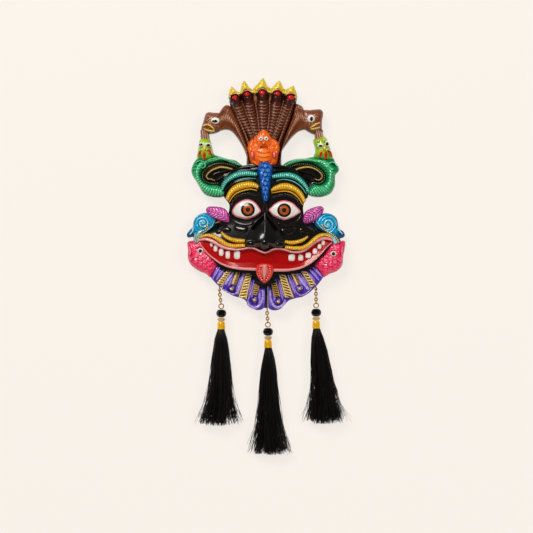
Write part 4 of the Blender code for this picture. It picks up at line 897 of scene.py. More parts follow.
def rounded(centre, radii, steps, power=2):
    """An ellipse, or with more power a rectangle with round corners: the radius at each turn is divided by
    (|cos|^power + |sin|^power)^(1/power)."""
    turn = np.linspace(0, 2 * math.pi, steps, endpoint=False)
    x, y = np.cos(turn), np.sin(turn)
    reach = (np.abs(x) ** power + np.abs(y) ** power) ** (-1 / power)
    return np.stack([centre[0] + radii[0] * reach * x, centre[1] + radii[1] * reach * y], axis=-1)


whites = [pad(shrunk(rim, spot, 1.75), spot, 0.1, 0.1, 120, 24, ground=eye_dome(spot), foot=-3.0)
          for spot, rim, _ in EYES]
eye_white_enamel = gloss_enamel("eye white enamel", "#f2f1ee", 0.08, 1.0, 0.05)
enamelled("eye_whites", whites, eye_white_enamel)
iris_enamel = pearl_enamel("amber enamel", "#6c2608", "#b44f12", "#e48434", 0.05, 0.22)
pupil_enamel = gloss_enamel("smoke enamel", "#24211f", 0.08, 1.0, 0.05)
for name, radius, h, finish in (("iris_rings", 6.9, 0.228, black_enamel), ("irises", 4.9, 0.3, iris_enamel),
                                ("eye_pupils", 2.5, 0.36, pupil_enamel)):
    discs = [pad(rounded(look, (radius, radius), 40), look, h, h + 0.1, 60, 10,
                 ground=eye_dome(spot), foot=-2.0) for spot, _, look in EYES]
    enamelled(name, discs, finish)

# The nose is one black form: a thin bridge that opens into a broad drop, flared wings and a ball at the tip.
# The folds from its bridge, the rims over the nostrils and the swells of the cheeks belong to it.
NOSE = [
    (265, 201.5), (262.6, 208), (259.4, 216), (255, 223), (250, 229.6), (246.2, 236.4), (244.8, 242),
    (246.6, 246.6), (251.6, 248.8), (258, 248.4), (261.4, 249.4), (265, 251.2), (268.8, 249.6),
    (272.4, 248.6), (279, 249.2), (283.8, 247), (285.6, 242.6), (284, 237.4), (279.8, 230),
    (275.4, 223.6), (271, 216), (267.6, 208),
]
SIDE_FOLDS = [[(265, 213.4), (261.4, 217.4), (256, 222.6), (250.6, 228.4)],
              [(265, 213.4), (269.4, 218.2), (274.6, 224.4), (279, 230.2)]]
NOSTRIL_RIMS = [[(245.8, 245.6), (247.4, 242.2), (251.6, 240.6), (256.6, 241.8)],
                [(273.6, 242.6), (278.6, 241.4), (282.8, 243), (284.4, 246.2)]]
CHEEKS = [[(233, 226), (241, 229.4), (249, 228.8)], [(279.6, 229), (287, 231.4), (296, 228.4)],
          [(215, 233), (224, 229.2), (232, 231)], [(298, 231), (306, 229.2), (316, 233.6)]]
nose = [
    pad(NOSE, (265.0, 241), 0.0, 9.6, 160, 36, ground=face, foot=-2.0, slope=1.25),
    dome((251.8, 243.8), (6.6, 4.4), face(251.8, 243.8) + 0.5, 5.2, 36, 20),
    dome((278.4, 244.6), (6.6, 4.4), face(278.4, 244.6) + 0.5, 5.2, 36, 20),
    dome((265.0, 243.2), (5.6, 6.4), face(265.0, 243.2) + 2.6, 8.2, 36, 20),
    stroke([(265.2, 202), (265, 208), (265, 214)], (3.0, 5.4, 6.4), 1.0, 5.2, 40, ends=2.0, **ON_FACE),
    *strokes(SIDE_FOLDS, (1.8, 2.4, 1.6), 1.0, 5.2, 50, across=9, ends=2.0, **ON_FACE),
    *strokes(NOSTRIL_RIMS, (2.2, 4.0, 2.2), 2.4, 7.0, 40, across=11, ground=face, foot=-1.0, ends=1.5),
    *strokes(CHEEKS, (5.0, 11.0, 5.0), -2.2, 2.2, across=15, ground=face, foot=-2.5, ends=5.0),
]
enamelled("nose", nose, black_enamel)

# Gold whisker bands sweep out from the nose, two to a side. They are cords of the same casting, cut across
# every 2 mm so that they look strung with beads, and painted pearly gold.
WHISKERS = [
    ([(221.2, 231.8), (225, 236.2), (230, 239), (236, 240.6), (245.4, 241.2)], (2.4, 4.2, 4.6, 3.6)),
    ([(199.2, 238.2), (203, 236), (208, 235.2), (214, 236.6), (220.2, 240.4), (226.5, 244.4), (233, 246),
      (239, 245.8), (245.6, 245.6)], (2.2, 4.2, 4.8, 4.4, 3.8)),
    ([(284.4, 241.8), (291.2, 242.8), (297.4, 242), (303, 240), (308, 236.4)], (3.6, 4.4, 4.0, 2.4)),
    ([(284.4, 247.2), (293.3, 248.2), (301.6, 248), (307.8, 245.3), (312.4, 241.2), (316.6, 237.4),
      (321, 235.2), (325, 234.7), (329, 236), (332.4, 239)], (3.8, 4.4, 4.8, 4.2, 2.2)),
]
whiskers = [stroke(path, widths, 1.0, 4.4, 230, across=11, relief=score(2.1, 0.8), ends=1.2, **ON_FACE)
            for path, widths in WHISKERS]
enamelled("whisker_bands", whiskers, gold_brow_enamel)

# The mouth is a glossy red trough between two thin pink lips. The teeth are white buttons pressed on it, five
# to the left and six to the right, and the tongue lies over the lower lip.
mouth_red = gloss_enamel("blood red enamel", "#b00608", 0.16, 0.7, 0.1)
mouth = [band((UPPER_LIP, LOWER_LIP), 0.0, 0.0, 220, 33, ground=mouth_floor, foot=-2.0)]
mouth.append(stroke([(264.9, 252.6), (265, 256), (265, 260)], (0.8, 1.6, 0.8), 0.0, 0.9, 20, across=7,
                    ground=mouth_floor, foot=-1.5, ends=1.0))
enamelled("mouth", mouth, mouth_red)
UPPER_LIP_WIDTHS = (2.4, 3.8, 3.0, 2.0, 1.9, 2.0, 2.0, 2.2, 3.4, 4.0, 2.4)
LOWER_LIP_WIDTHS = (1.2, 1.6, 2.2, 2.8, 3.2, 2.8, 2.2, 1.6, 1.2)
lips = [stroke(UPPER_LIP, UPPER_LIP_WIDTHS, 0.8, 2.9, 240, across=9, ends=2.0, **ON_FACE),
        stroke(LOWER_LIP, LOWER_LIP_WIDTHS, 0.4, 2.2, 220, across=9, ends=2.0, **ON_FACE)]
lip_pink = gloss_enamel("lip pink enamel", "#f4a2a6", 0.1, 1.0, 0.1)
enamelled("lips", lips, lip_pink)
TEETH = [
    (211.5, 244.6, 2.8, 4.8), (215.7, 248.5, 4.2, 6.5), (221.3, 252.3, 4.7, 7.5), (227.9, 254.8, 4.8, 7.9),
    (237.1, 255, 6.4, 8.4), (291.6, 257.7, 6.9, 6.9), (300.5, 257.7, 5.4, 6.3), (308, 255.4, 5.8, 6.0),
    (314.7, 251.3, 4.8, 5.8), (319.3, 246.5, 4.1, 5.3), (323, 242.9, 3.8, 5.0),
]
teeth = [pad(rounded((u, v), (0.52 * wide, 0.52 * high), 24, power=3), (u, v), 0.6, 2.8, 40, 9,
             ground=mouth_floor, foot=-1.5) for u, v, wide, high in TEETH]
enamelled("teeth", teeth, white_enamel)

tongue_red = pearl_enamel("tongue red enamel", "#b40c0c", "#f22e28", "#ff968e", 0.0, 0.15)
tongue_pink = gloss_enamel("tongue pink enamel", "#f4a09e", 0.15, 0.8, 0.1)
TONGUE = [
    (264.6, 263.2), (260, 263.8), (256.8, 266), (256.0, 270.6), (256.8, 275.6), (259.6, 280), (264.2, 283.4),
    (268.8, 280.4), (272.2, 275.8), (273.6, 270.2), (272.8, 266), (269.4, 263.8),
]
tongue = [pad(TONGUE, (264.7, 272.4), 1.6, 6.4, 90, 24, ground=face, foot=-2.0)]
for side in (-1, 1):
    row = [(264.9 + side * 4.6, 266.4), (264.8 + side * 5.4, 270.6), (264.6 + side * 4.6, 275),
           (264.4 + side * 2.4, 279.6)]
    tongue += bead_row(row, 1.25, 5.9, 7, ground=face, rise=1.3, around=14, rows=8)
    edge = [(264.9 + side * 2.4, 264.8), (264.9 + side * 2.9, 270), (264.4 + side * 1.9, 277.4)]
    tongue.append(stroke(edge, (0.9, 1.2, 0.8), 5.2, 7.6, 30, across=7, ends=1.0, **ON_FACE))
enamelled("tongue", tongue, tongue_red)
stripe = stroke([(264.6, 264.6), (264.7, 270), (264.1, 279.6)], (4.2, 5.0, 3.8, 0.8), 5.4, 8.0, 40, across=11,
                ends=1.5, **ON_FACE)
enamelled("tongue_stripe", [stripe], tongue_pink)

# A leaf stands beside each eye, in magenta, with a midrib and slanting veins. It is part of the casting and
# leans on the face where the two meet.
magenta_enamel = pearl_enamel("pearly magenta enamel", "#84186a", "#d64fb6", "#ffb6ee", 0.25, 0.26)
MIDRIB_LENGTH = 26.0
MIDRIB_STEPS = 120
VEIN_PITCH = 3.4
LEAVES = [
    ([(206.4, 212.2), (206, 208.8), (208.4, 206.6), (213.3, 206.3), (219.6, 206.9), (225.6, 209.3),
      (228.6, 214.3), (229.8, 219.8), (229, 223), (221.6, 221.6), (213.7, 218.9), (209, 216)], (218, 213.8),
     [(207, 209.8), (213, 211.4), (220, 214.2), (229.4, 222.2)]),
    ([(303, 222.4), (302.6, 219.4), (304.4, 213.2), (308.2, 209.7), (314, 207.2), (320.2, 205.9),
      (323.8, 208), (323.4, 211.7), (321, 215.9), (316.1, 220.9), (308.2, 223.8),
      (304.6, 224.2)], (313, 214.8),
     [(303.4, 222.6), (309, 217.6), (315, 214), (323, 207.6)]),
]


def beside_face(u, v):
    """Flat beside the face, and lying on it where the two meet."""
    return face(u, v) - RIM


def veined(rib):
    """Veins slant back from the midrib, VEIN_PITCH apart, on a blade that rises to it."""
    line = curve(rib, MIDRIB_STEPS)

    def shape(u, v, r):
        gap = np.hypot(u[..., None] - line[:, 0], v[..., None] - line[:, 1])
        near = gap.argmin(-1)
        off = np.take_along_axis(gap, near[..., None], -1)[..., 0]
        slanting = near * MIDRIB_LENGTH / MIDRIB_STEPS + 0.9 * off
        veins = np.abs(np.sin(math.pi * slanting / VEIN_PITCH)) ** 0.7
        return 1.2 * veins * np.clip(off / 1.2, 0, 1) * (1 - r**8)
    return shape


leaves = [pad(rim, spot, 8.6, 12.6, 150, 30, ground=beside_face, relief=veined(rib), worn=0.25)
          for rim, spot, rib in LEAVES]
leaves += strokes([rib for _, _, rib in LEAVES], (1.0, 1.6, 1.6, 1.0), 10.0, 14.2, across=7, ends=1.5,
                  ground=beside_face, foot=7.0)
enamelled("leaves", leaves, magenta_enamel)

# A curled shell hangs at each cheek, in turquoise: grooves wind into its eye, and a row of gold beads
# follows its stem.
turquoise_enamel = pearl_enamel("pearly turquoise enamel", "#00588a", "#16b4e6", "#b4f6ff", 0.15, 0.2)
LEFT_SHELL = [
    (210, 214.4), (203.8, 212.8), (197, 215.8), (193.7, 220.6), (192.5, 226.5), (189, 230.6), (186.6, 234.5),
    (188, 237.6), (191.6, 237), (193.4, 237.6), (192.6, 243.4), (196, 244), (199.8, 243.6), (202, 236.8),
    (206, 232.8), (210.4, 230), (215.5, 224.2), (216, 220.4),
]
RIGHT_SHELL = [
    (323.4, 213.4), (330.8, 213.8), (336.2, 217.6), (338, 223.1), (338.8, 228), (343.2, 231.2), (345, 234.8),
    (343.6, 237.4), (340.4, 238.6), (341, 242.4), (336.4, 245.4), (331, 243.6), (331.4, 239.4),
    (326.5, 234.4), (320.2, 230.2), (314, 224.8), (315.6, 218.6),
]


def wound(centre, pitch, turn):
    """Grooves that wind into a point: a wave in radius plus turn, a pitch apart, that fades far from it."""
    def shape(u, v, r):
        away = np.hypot(u - centre[0], v - centre[1])
        angle = np.arctan2(v - centre[1], u - centre[0])
        wave = np.abs(np.sin(math.pi * (away / pitch + turn * angle / (2 * math.pi))))
        return 2.4 * wave**0.7 * np.clip(1.35 - away / 11, 0, 1) * np.clip(away / 2, 0, 1) * (1 - r**10)
    return shape


SHELLS = [(LEFT_SHELL, (203, 223.5), (203.0, 223.0), 1), (RIGHT_SHELL, (327.7, 224.8), (327.7, 224.4), -1)]
shells = [pad(rim, spot, 8.0, 12.4, 180, 40, relief=wound(eye, 3.2, turn), worn=0.1)
          for rim, spot, eye, turn in SHELLS]
SHELL_EYES = [((203.0, 223.2), (2.0, 2.0)), ((327.9, 224.6), (2.1, 2.1))]
shells += [dome(spot, radii, 12.6, 2.4) for spot, radii in SHELL_EYES]
STEMS = [([(203.6, 229.6), (199, 234), (197, 238.6), (196.4, 243.8)], (4.0, 6.0, 6.6, 6.2)),
         ([(325.6, 230), (330, 234.4), (334, 238.8), (336.8, 244.4)], (4.0, 5.6, 6.6, 7.0))]
shells += [stroke(path, widths, 10.0, 14.4, 60, across=11, ends=2.0, worn=0.7) for path, widths in STEMS]
SHELL_FOLDS = [
    [(214.4, 220.8), (212, 226.4), (206.6, 230.6), (201.4, 234.8), (199.2, 241.6)],
    [(193.4, 226), (192.8, 231), (189.4, 235)], [(195.6, 232), (195, 237), (194.6, 242)],
    [(337.6, 226), (339, 230.4), (342.6, 234.6)],
    [(316, 221.6), (321, 227.6), (328, 232.8), (334.6, 239.6), (336, 243)],
]
shells += strokes(SHELL_FOLDS, (1.6, 2.4, 1.6), 10.5, 14.8, across=9, ends=1.8)
enamelled("cheek_shells", shells, turquoise_enamel)
SHELL_ROWS = [[(208.2, 224), (207.2, 227.6), (203.4, 230.8), (199.4, 233.4), (196.8, 236.8), (196, 241.4)],
              [(322.4, 225.4), (324.8, 229.8), (329.8, 233.3), (334, 235.8), (337.4, 239.6), (338.4, 242)]]
shell_beads = [bead for row in SHELL_ROWS for bead in bead_row(row, 1.0, 15.0, 12, around=10, rows=6)]
EAR_CORNER = [(215, 223.4), (217.6, 222.4), (221.6, 221.8)]
shell_beads.append(stroke(EAR_CORNER, (1.2, 1.6, 0.8), 9.5, 13.4, 20, across=7, ends=1.0))
enamelled("shell_beads", shell_beads, gold_enamel)

# A pink fish, or sea dragon, closes each corner of the mouth, scaled by pressing a curved tool into the soft
# filler, with gill ridges and a small white eye.
pink_enamel = pearl_enamel("hot pink enamel", "#b40a40", "#f63068", "#ff7ea2", 0.0, 0.24)
FISH_SCALE_LENGTH = 4.6
FISH_SCALE_WIDTH = 5.4
FISH_HEAD_LENGTH = 7.0
LEFT_FISH = [
    (187.7, 241.8), (187.2, 244.9), (187.8, 250.7), (187.6, 256.1), (188.9, 261.7), (192.2, 266.4),
    (199.4, 271.4), (205.6, 273.9), (210.4, 277.4), (214.4, 272), (219, 266.2), (218, 262.1),
    (215, 257.1), (210, 249.7), (205.8, 242.4), (199.5, 239.9), (192.5, 240.8),
]
RIGHT_FISH = [
    (340.6, 241.2), (344.1, 240.6), (345.5, 242.8), (344.7, 250), (343.4, 256.2), (343, 262.4),
    (341.3, 267.2), (336.6, 271.5), (330.7, 273.6), (327.4, 275.4), (323.4, 277.4), (319, 272),
    (313.4, 266.9), (313.2, 262.8), (317, 257.8), (322, 253.6), (328.2, 245.3), (331.8, 242.6),
]


def fish_scales(head, tail):
    """U-shaped arcs in rows from head to tail, moved by half a scale in every second row, and dents on the
    head."""
    (u0, v0), (u1, v1) = head, tail
    length = math.hypot(u1 - u0, v1 - v0)
    du, dv = (u1 - u0) / length, (v1 - v0) / length
    dents = dented(0.35, 3.0)

    def shape(u, v, r):
        along = ((u - u0) * du + (v - v0) * dv) / FISH_SCALE_LENGTH
        across = ((v - v0) * du - (u - u0) * dv) / FISH_SCALE_WIDTH
        row = along - 0.5 * np.abs(np.sin(math.pi * (across + 0.5 * np.floor(along))))
        past_head = (along * FISH_SCALE_LENGTH - FISH_HEAD_LENGTH) / 3
        scaled = 1.5 * np.abs(row - np.floor(row) - 0.15) ** 0.8 * np.clip(past_head, 0, 1)
        on_head = dents(u, v, 1.0) * np.clip(2 / 3 - past_head, 0, 1)
        return (scaled + on_head) * (1 - r**10)
    return shape


fish = [pad(LEFT_FISH, (201.5, 257), 8.5, 16.6, 190, 40, relief=fish_scales((194, 246), (208, 273))),
        pad(RIGHT_FISH, (330.5, 258.5), 8.5, 16.6, 190, 40, relief=fish_scales((338, 247), (322, 272)))]
GILLS = [
    [(190.2, 259.6), (196.6, 256), (203.8, 257.6), (208.6, 262.6)],
    [(341, 261.4), (334, 258.6), (326.6, 261), (321.6, 266)],
    [(195.4, 248.8), (198, 246.4), (202, 246.4), (205, 249.4)],
    [(329.4, 251.8), (331.6, 249.6), (335, 249.8), (337.4, 252.4)],
    [(189.6, 246), (190.6, 251), (190.2, 255.6)], [(342.4, 246), (341.4, 251), (341.8, 256)],
]
fish += strokes(GILLS, (1.2, 2.0, 1.2), 13.0, 17.4, 50, across=7, ends=1.5)
enamelled("cheek_fish", fish, pink_enamel)
FISH_EYES = [(200.5, 250.9), (333.2, 253.8)]
enamelled("fish_eyes", [dome(spot, (3.1, 2.9), 16.2, 2.6) for spot in FISH_EYES], white_enamel)
enamelled("fish_pupils", [dome(spot, (1.9, 1.8), 18.1, 1.3, 16, 8) for spot in FISH_EYES], black_enamel)

# The collar fans out under the chin in two halves, like pleated cloth: violet, with pale ridges that are
# partly rubbed paint and partly painted highlight. It is part of the same moulding, and the middle chain
# hangs in the slot between the halves.
violet_enamel = pearl_enamel("pearly violet enamel", "#1a0848", "#583cc0", "#aa92f8", 0.1, 0.22)
lavender_enamel = pearl_enamel("rubbed and shaded lavender enamel", "#3d209c", "#9478ea", "#e4daff", 0.1, 0.2)
NECKLINES = [
    [(218.2, 264.6), (222, 267.3), (227, 269.6), (232, 271.3), (238, 271.8), (244, 272.6), (249.5, 272.4),
     (253, 275.4), (256.4, 281.4), (260.4, 284.4), (264.8, 286)],
    [(268.0, 285.6), (270.6, 284.0), (273.6, 281.2), (276, 277), (278, 273.8), (284, 273.8), (290, 273.8),
     (296, 272.8), (302, 271.6), (307, 269.8), (311, 267.6), (314.2, 266)],
]
HEMS = [
    [(210.7, 277.6), (216.4, 284), (221.5, 288.2), (228, 293.2), (235, 296.6), (241, 298), (246, 301.2),
     (250, 306.4), (255.4, 309.9), (260.5, 310), (264.7, 307.6)],
    [(268.1, 307.8), (271, 309.9), (276, 310.5), (281, 308.6), (285, 304.4), (289, 300.6), (295.5, 298.4),
     (302.5, 296.8), (308.5, 293.4), (313.3, 289.2), (318.5, 284), (323.6, 277)],
]
collar = [band((top, hem), 9.2, 12.2, 160, 25, slope=0.35, relief=score(4.3, 0.6), worn=0.25)
          for top, hem in zip(NECKLINES, HEMS)]
collar.append(stroke([(265.6, 284), (265.6, 308.2)], (4.4, 4.4), 3.6, 4.4, 30, across=7))
enamelled("collar", collar, violet_enamel)

PLEATS = [
    ([(220.6, 266.2), (212.8, 278.6)], 2.3), ([(225, 268.4), (216, 280.6)], 1.7),
    ([(233.8, 271.4), (225, 285)], 4.2),
    ([(232.6, 271.2), (222.6, 286.8), (226, 291), (232, 293.6), (236.4, 292.6), (240.6, 281),
      (243.6, 272.8)], 2.0),
    ([(244, 272.8), (240.8, 284), (236.9, 294.6)], 5.0), ([(254.2, 280.4), (252, 290), (247.6, 301)], 2.2),
    ([(262.8, 289.8), (262.5, 298), (260.0, 304.6), (255.2, 307.6), (249.6, 305.2), (247.2, 300.6)], 3.8),
    ([(270.1, 289.6), (270.6, 298), (273, 304.8), (277.4, 307.2), (283, 304.4), (285.4, 299.6)], 3.8),
    ([(278.7, 279.6), (281.2, 288), (284, 297)], 2.2), ([(287.6, 274), (291, 283.6), (295.4, 293.8)], 2.6),
    ([(296.2, 273.2), (302.6, 282.4), (309, 290)], 5.0), ([(299, 272.8), (305.8, 281), (311.4, 288.8)], 1.8),
    ([(289.8, 274.4), (293.6, 284), (296, 291.4), (299.6, 295), (305, 294), (311.6, 288.2)], 1.8),
    ([(309.2, 269.2), (318.9, 280.4)], 2.4), ([(312.6, 267.6), (322.2, 277.4)], 2.1),
    ([(274.6, 279), (276.2, 281.6)], 2.0),
]
pleats = [stroke(path, (wide * 0.8, wide, wide * 0.8), 10.0, 13.6, 70, across=9, ends=0.8,
                 relief=score(1.1, 0.25)) for path, wide in PLEATS]
enamelled("collar_pleats", pleats, lavender_enamel)

# Gold bars lie on the pleats, cut with slanting strokes, dark in the cuts: partly the undercoat showing and
# partly painted shade. Studs in dark rings end four of them.
bar_gold = pearl_enamel("cut gold enamel", "#140a01", "#e8b246", "#ffe49a", 0.2, 0.26)
dark_bar_gold = pearl_enamel("dark cut gold enamel", "#150a02", "#74501c", "#e0b460", 0.25, 0.3)


def slant(pitch, lean, depth):
    """Cuts across a bar, a pitch apart, slanted by lean, between two plain edges."""
    def shape(s, x):
        cuts = np.clip(np.sin(2 * math.pi * (s / pitch + lean * x)) * 2.5 + 0.4, -1, 1)
        return depth * np.where(np.abs(x) < 0.62, cuts, 0.8)
    return shape


def bar(sides, cut):
    """A flat bar between its two long sides."""
    return band(sides, 13.2, 14.4, 110, 25, relief=cut, slope=0.2, ends=0.5, worn=0.0)


BARS = [
    ([(228, 269), (216.8, 283)], [(231.4, 271), (221.7, 286.4)], 2.6, 0.45),
    ([(246.4, 272.6), (238.6, 296.6)], [(252.2, 272.8), (246.6, 299.4)], 3.0, 0.6),
    ([(278.6, 274.4), (285, 297.6)], [(285.2, 274.4), (294, 297.4)], 3.0, -0.5),
    ([(301.3, 272), (311, 287.4)], [(305.8, 270.6), (316, 284.8)], 3.4, -0.5),
]
DARK_BARS = [
    ([(238, 272), (233.6, 284.8)], [(240.2, 272.6), (235.8, 285.6)], 1.5, 0.1),
    ([(254.3, 283.8), (252.4, 295)], [(259.8, 285.4), (257.2, 295)], 1.9, 0.3),
    ([(271.1, 284), (273.8, 296.6)], [(276.6, 281.6), (280.4, 297.2)], 2.3, -0.45),
    ([(293, 273.2), (298.4, 284.8)], [(295.6, 272.8), (300, 284.4)], 1.5, 0.1),
]
PLAIN_BARS = [([(235.8, 271.6), (231.4, 283.8)], [(238, 272), (233.6, 284.6)]),
              ([(290.9, 273.6), (296.5, 285)], [(293, 273.2), (298.4, 284.8)])]
bars = [bar((a, b), slant(pitch, lean, 0.45)) for a, b, pitch, lean in BARS]
bars += [bar(pair, None) for pair in PLAIN_BARS]
enamelled("collar_bars", bars, bar_gold)
dark_bars = [bar((a, b), slant(pitch, lean, 0.4)) for a, b, pitch, lean in DARK_BARS]
enamelled("collar_dark_bars", dark_bars, dark_bar_gold)
STUDS = [(231.6, 289.0), (254.7, 300.0), (278.5, 301.7), (299.8, 288.6)]
dark_violet_enamel = pearl_enamel("dark violet enamel", "#120636", "#2e1673", "#7d5fd8", 0.3, 0.28)


def ringed(u, v, r):
    """A raised lip near the rim, and a hollow inside it."""
    return 1.3 * np.exp(-(((r - 0.86) / 0.13) ** 2)) - 0.9 * np.exp(-(((r - 0.55) / 0.16) ** 2))


stud_rings = [pad(rounded(spot, (4.5, 4.3), 32), spot, 11.6, 12.6, 64, 20, relief=ringed) for spot in STUDS]
enamelled("collar_stud_rings", stud_rings, dark_violet_enamel)
enamelled("collar_studs", [dome(spot, (1.9, 1.8), 13.0, 1.8) for spot in STUDS], gold_enamel)
# Each stud gets a white dome at its upper left, a painted highlight.
stud_highlights = [dome((u - 0.7, v - 0.3), (1.0, 0.9), 14.1, 0.9, 16, 8) for u, v in STUDS]
enamelled("collar_stud_highlights", stud_highlights, white_enamel)

# The flat back: the moulded shell's raw edge, in unpainted grey filler, cast against a board, so it is matt
# and pitted with grains of about 1 mm. The forms' own outlines make it up, on the wall plane.
GRAINS_PER_METRE = 900.0
raw_filler, tree = new_material("raw grey filler")
where = add_node(tree, "ShaderNodeTexCoord", {})
grain = add_node(tree, "ShaderNodeTexNoise",
                 {"Vector": (where, "Object"), "Scale": GRAINS_PER_METRE, "Detail": 5.0})
tone = add_node(tree, "ShaderNodeValToRGB", {"Fac": (grain, 0)})
tone.color_ramp.elements[0].color = linear("#5e554c")
tone.color_ramp.elements[1].color = linear("#8a7f73")
pitted = add_node(tree, "ShaderNodeBump", {"Height": (grain, 0), "Strength": 0.6, "Distance": 0.0003})
matt = add_node(tree, "ShaderNodeBsdfPrincipled",
                {"Base Color": (tone, 0), "Normal": (pitted, 0), "Roughness": 0.8})
add_node(tree, "ShaderNodeOutputMaterial", {"Surface": (matt, 0)})
enamelled("plaque_back", soles, raw_filler)

# The chains: an eyelet in the collar's edge, four or five oval links, each a quarter turn from the last, and
# a round ring, all bent from gold-coloured wire. They hang 8 mm in front of the wall, as the tassels do.
PATCHES_PER_METRE = 500.0
WIRE = 0.0012
EYELET_DIAMETER = 0.0035
HANG_Y = -0.008
SIDES = ("left", "centre", "right")


def plated(name, colour, roughness, dull=0.08, metal=1.0):
    """Plated brass: a bright metal whose shine is a little uneven where it has been handled, in patches of
    about 2 mm."""
    made, tree = new_material(name)
    where = add_node(tree, "ShaderNodeTexCoord", {})
    handled = add_node(tree, "ShaderNodeTexNoise",
                       {"Vector": (where, "Object"), "Scale": PATCHES_PER_METRE, "Detail": 2.0})
    shine = add_node(tree, "ShaderNodeMapRange",
                     {"Value": (handled, 0), "To Min": roughness, "To Max": roughness + dull})
    surface = add_node(tree, "ShaderNodeBsdfPrincipled",
                       {"Base Color": linear(colour), "Metallic": metal, "Roughness": (shine, 0)})
    add_node(tree, "ShaderNodeOutputMaterial", {"Surface": (surface, 0)})
    return made


def wire(line, closed, centre, edge_on, sides=12):
    """Round wire along a line of (x, z) points in an upright plane, which faces front, or sideways if
    edge_on: circles of the wire's radius, square to the line."""
    x, z = np.array(line, float).T
    dx, dz = (0.5 * (np.roll(c, -1) - np.roll(c, 1)) if closed else np.gradient(c) for c in (x, z))
    length = np.hypot(dx, dz)
    turn = np.linspace(0, 2 * math.pi, sides, endpoint=False)
    across = WIRE / 2 * np.cos(turn)
    wide = x[:, None] - dz[:, None] / length[:, None] * across
    high = z[:, None] + dx[:, None] / length[:, None] * across
    deep = np.broadcast_to(WIRE / 2 * np.sin(turn), wide.shape)
    axes = (deep, wide, high) if edge_on else (wide, deep, high)
    points = np.stack(axes, axis=-1) + np.array(centre)
    lift = np.ones(wide.shape)
    if not closed:
        return grid(points, lift)
    rows = len(x)
    i, j = np.arange(rows)[:, None], np.arange(sides)[None, :]
    k, n = (i + 1) % rows, (j + 1) % sides
    quads = np.stack([i * sides + j, i * sides + n, k * sides + n, k * sides + j], axis=-1).reshape(-1, 4)
    return points.reshape(-1, 3), quads, np.zeros((0, 3), int), lift.ravel()


def middle_of(node):
    """The middle and the size of a CAD node's box."""
    low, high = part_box(node)
    return np.array((low + high) / 2), np.array(high - low)


def fitted(node, parts, finish, fold=50):
    """A visual piece that stands for one CAD node."""
    made = build(f"{node}_seen", parts, finish, fold)
    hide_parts(node)


chain_gold = plated("plated gold wire", "#ba881a", 0.3, 0.08, 0.5)
LINK_COUNTS = {"left": 5, "centre": 4, "right": 5}
angles = np.linspace(0, 2 * math.pi, 40, endpoint=False)
for side in SIDES:
    for number in range(1, LINK_COUNTS[side] + 1):
        node = f"{side}_link_{number}"
        centre, size = middle_of(node)
        edge_on = size[0] < size[1]
        reach = (np.array([max(size[:2]), size[2]]) - WIRE) / 2
        line = reach * np.stack([np.cos(angles), np.sin(angles)], axis=-1)
        fitted(node, [wire(line, True, centre, edge_on)], chain_gold)
    centre, size = middle_of(f"{side}_ring")
    radius = (size[0] - WIRE) / 2
    line = radius * np.stack([np.cos(angles), np.sin(angles)], axis=-1)
    fitted(f"{side}_ring", [wire(line, True, centre, False)], chain_gold)

    low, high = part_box(f"{side}_eyelet")
    edge_on = high.x - low.x < high.y - low.y
    loop = (EYELET_DIAMETER - WIRE) / 2
    loop_middle = low.x + (WIRE if edge_on else EYELET_DIAMETER) / 2
    centre = np.array([loop_middle, HANG_Y, low.z + EYELET_DIAMETER / 2])
    bend = np.radians(np.linspace(0, 300, 30))
    stem = np.stack([np.zeros(12), np.linspace(high.z - centre[2], loop + 0.0003, 12)], axis=-1)
    line = np.vstack([stem, np.stack([loop * np.sin(bend), loop * np.cos(bend)], axis=-1)])
    fitted(f"{side}_eyelet", [wire(line, False, centre, edge_on)], chain_gold)

# Under each chain come a faceted black glass bead, a champagne crystal rondelle and a pressed gold bell cap,
# threaded on the tassel's loop.
black_glass, tree = new_material("black glass")
cut_glass = add_node(tree, "ShaderNodeBsdfPrincipled", {
    "Base Color": linear("#08080a"), "Roughness": 0.1, "Specular IOR Level": 0.4})
add_node(tree, "ShaderNodeOutputMaterial", {"Surface": (cut_glass, 0)})
champagne_crystal = plated("champagne crystal", "#d8bc80", 0.1, 0.04, 0.3)
cap_gold = plated("pressed gold cap", "#fcc224", 0.24, 0.06, 0.3)


def turned(centre, rows, steps, twist=0.0):
    """A piece turned about the vertical: one ring for each (radius, height), every second one twisted."""
    turn = np.linspace(0, 2 * math.pi, steps, endpoint=False)[None, :]
    radius, height = np.array(rows, float).T
    turn = turn + (np.arange(len(rows)) % 2 * twist)[:, None]
    radius, height = radius[:, None], height[:, None]
    points = np.stack(np.broadcast_arrays(radius * np.cos(turn), radius * np.sin(turn), height), axis=-1)
    return grid(points + np.array(centre), np.ones(turn.shape))


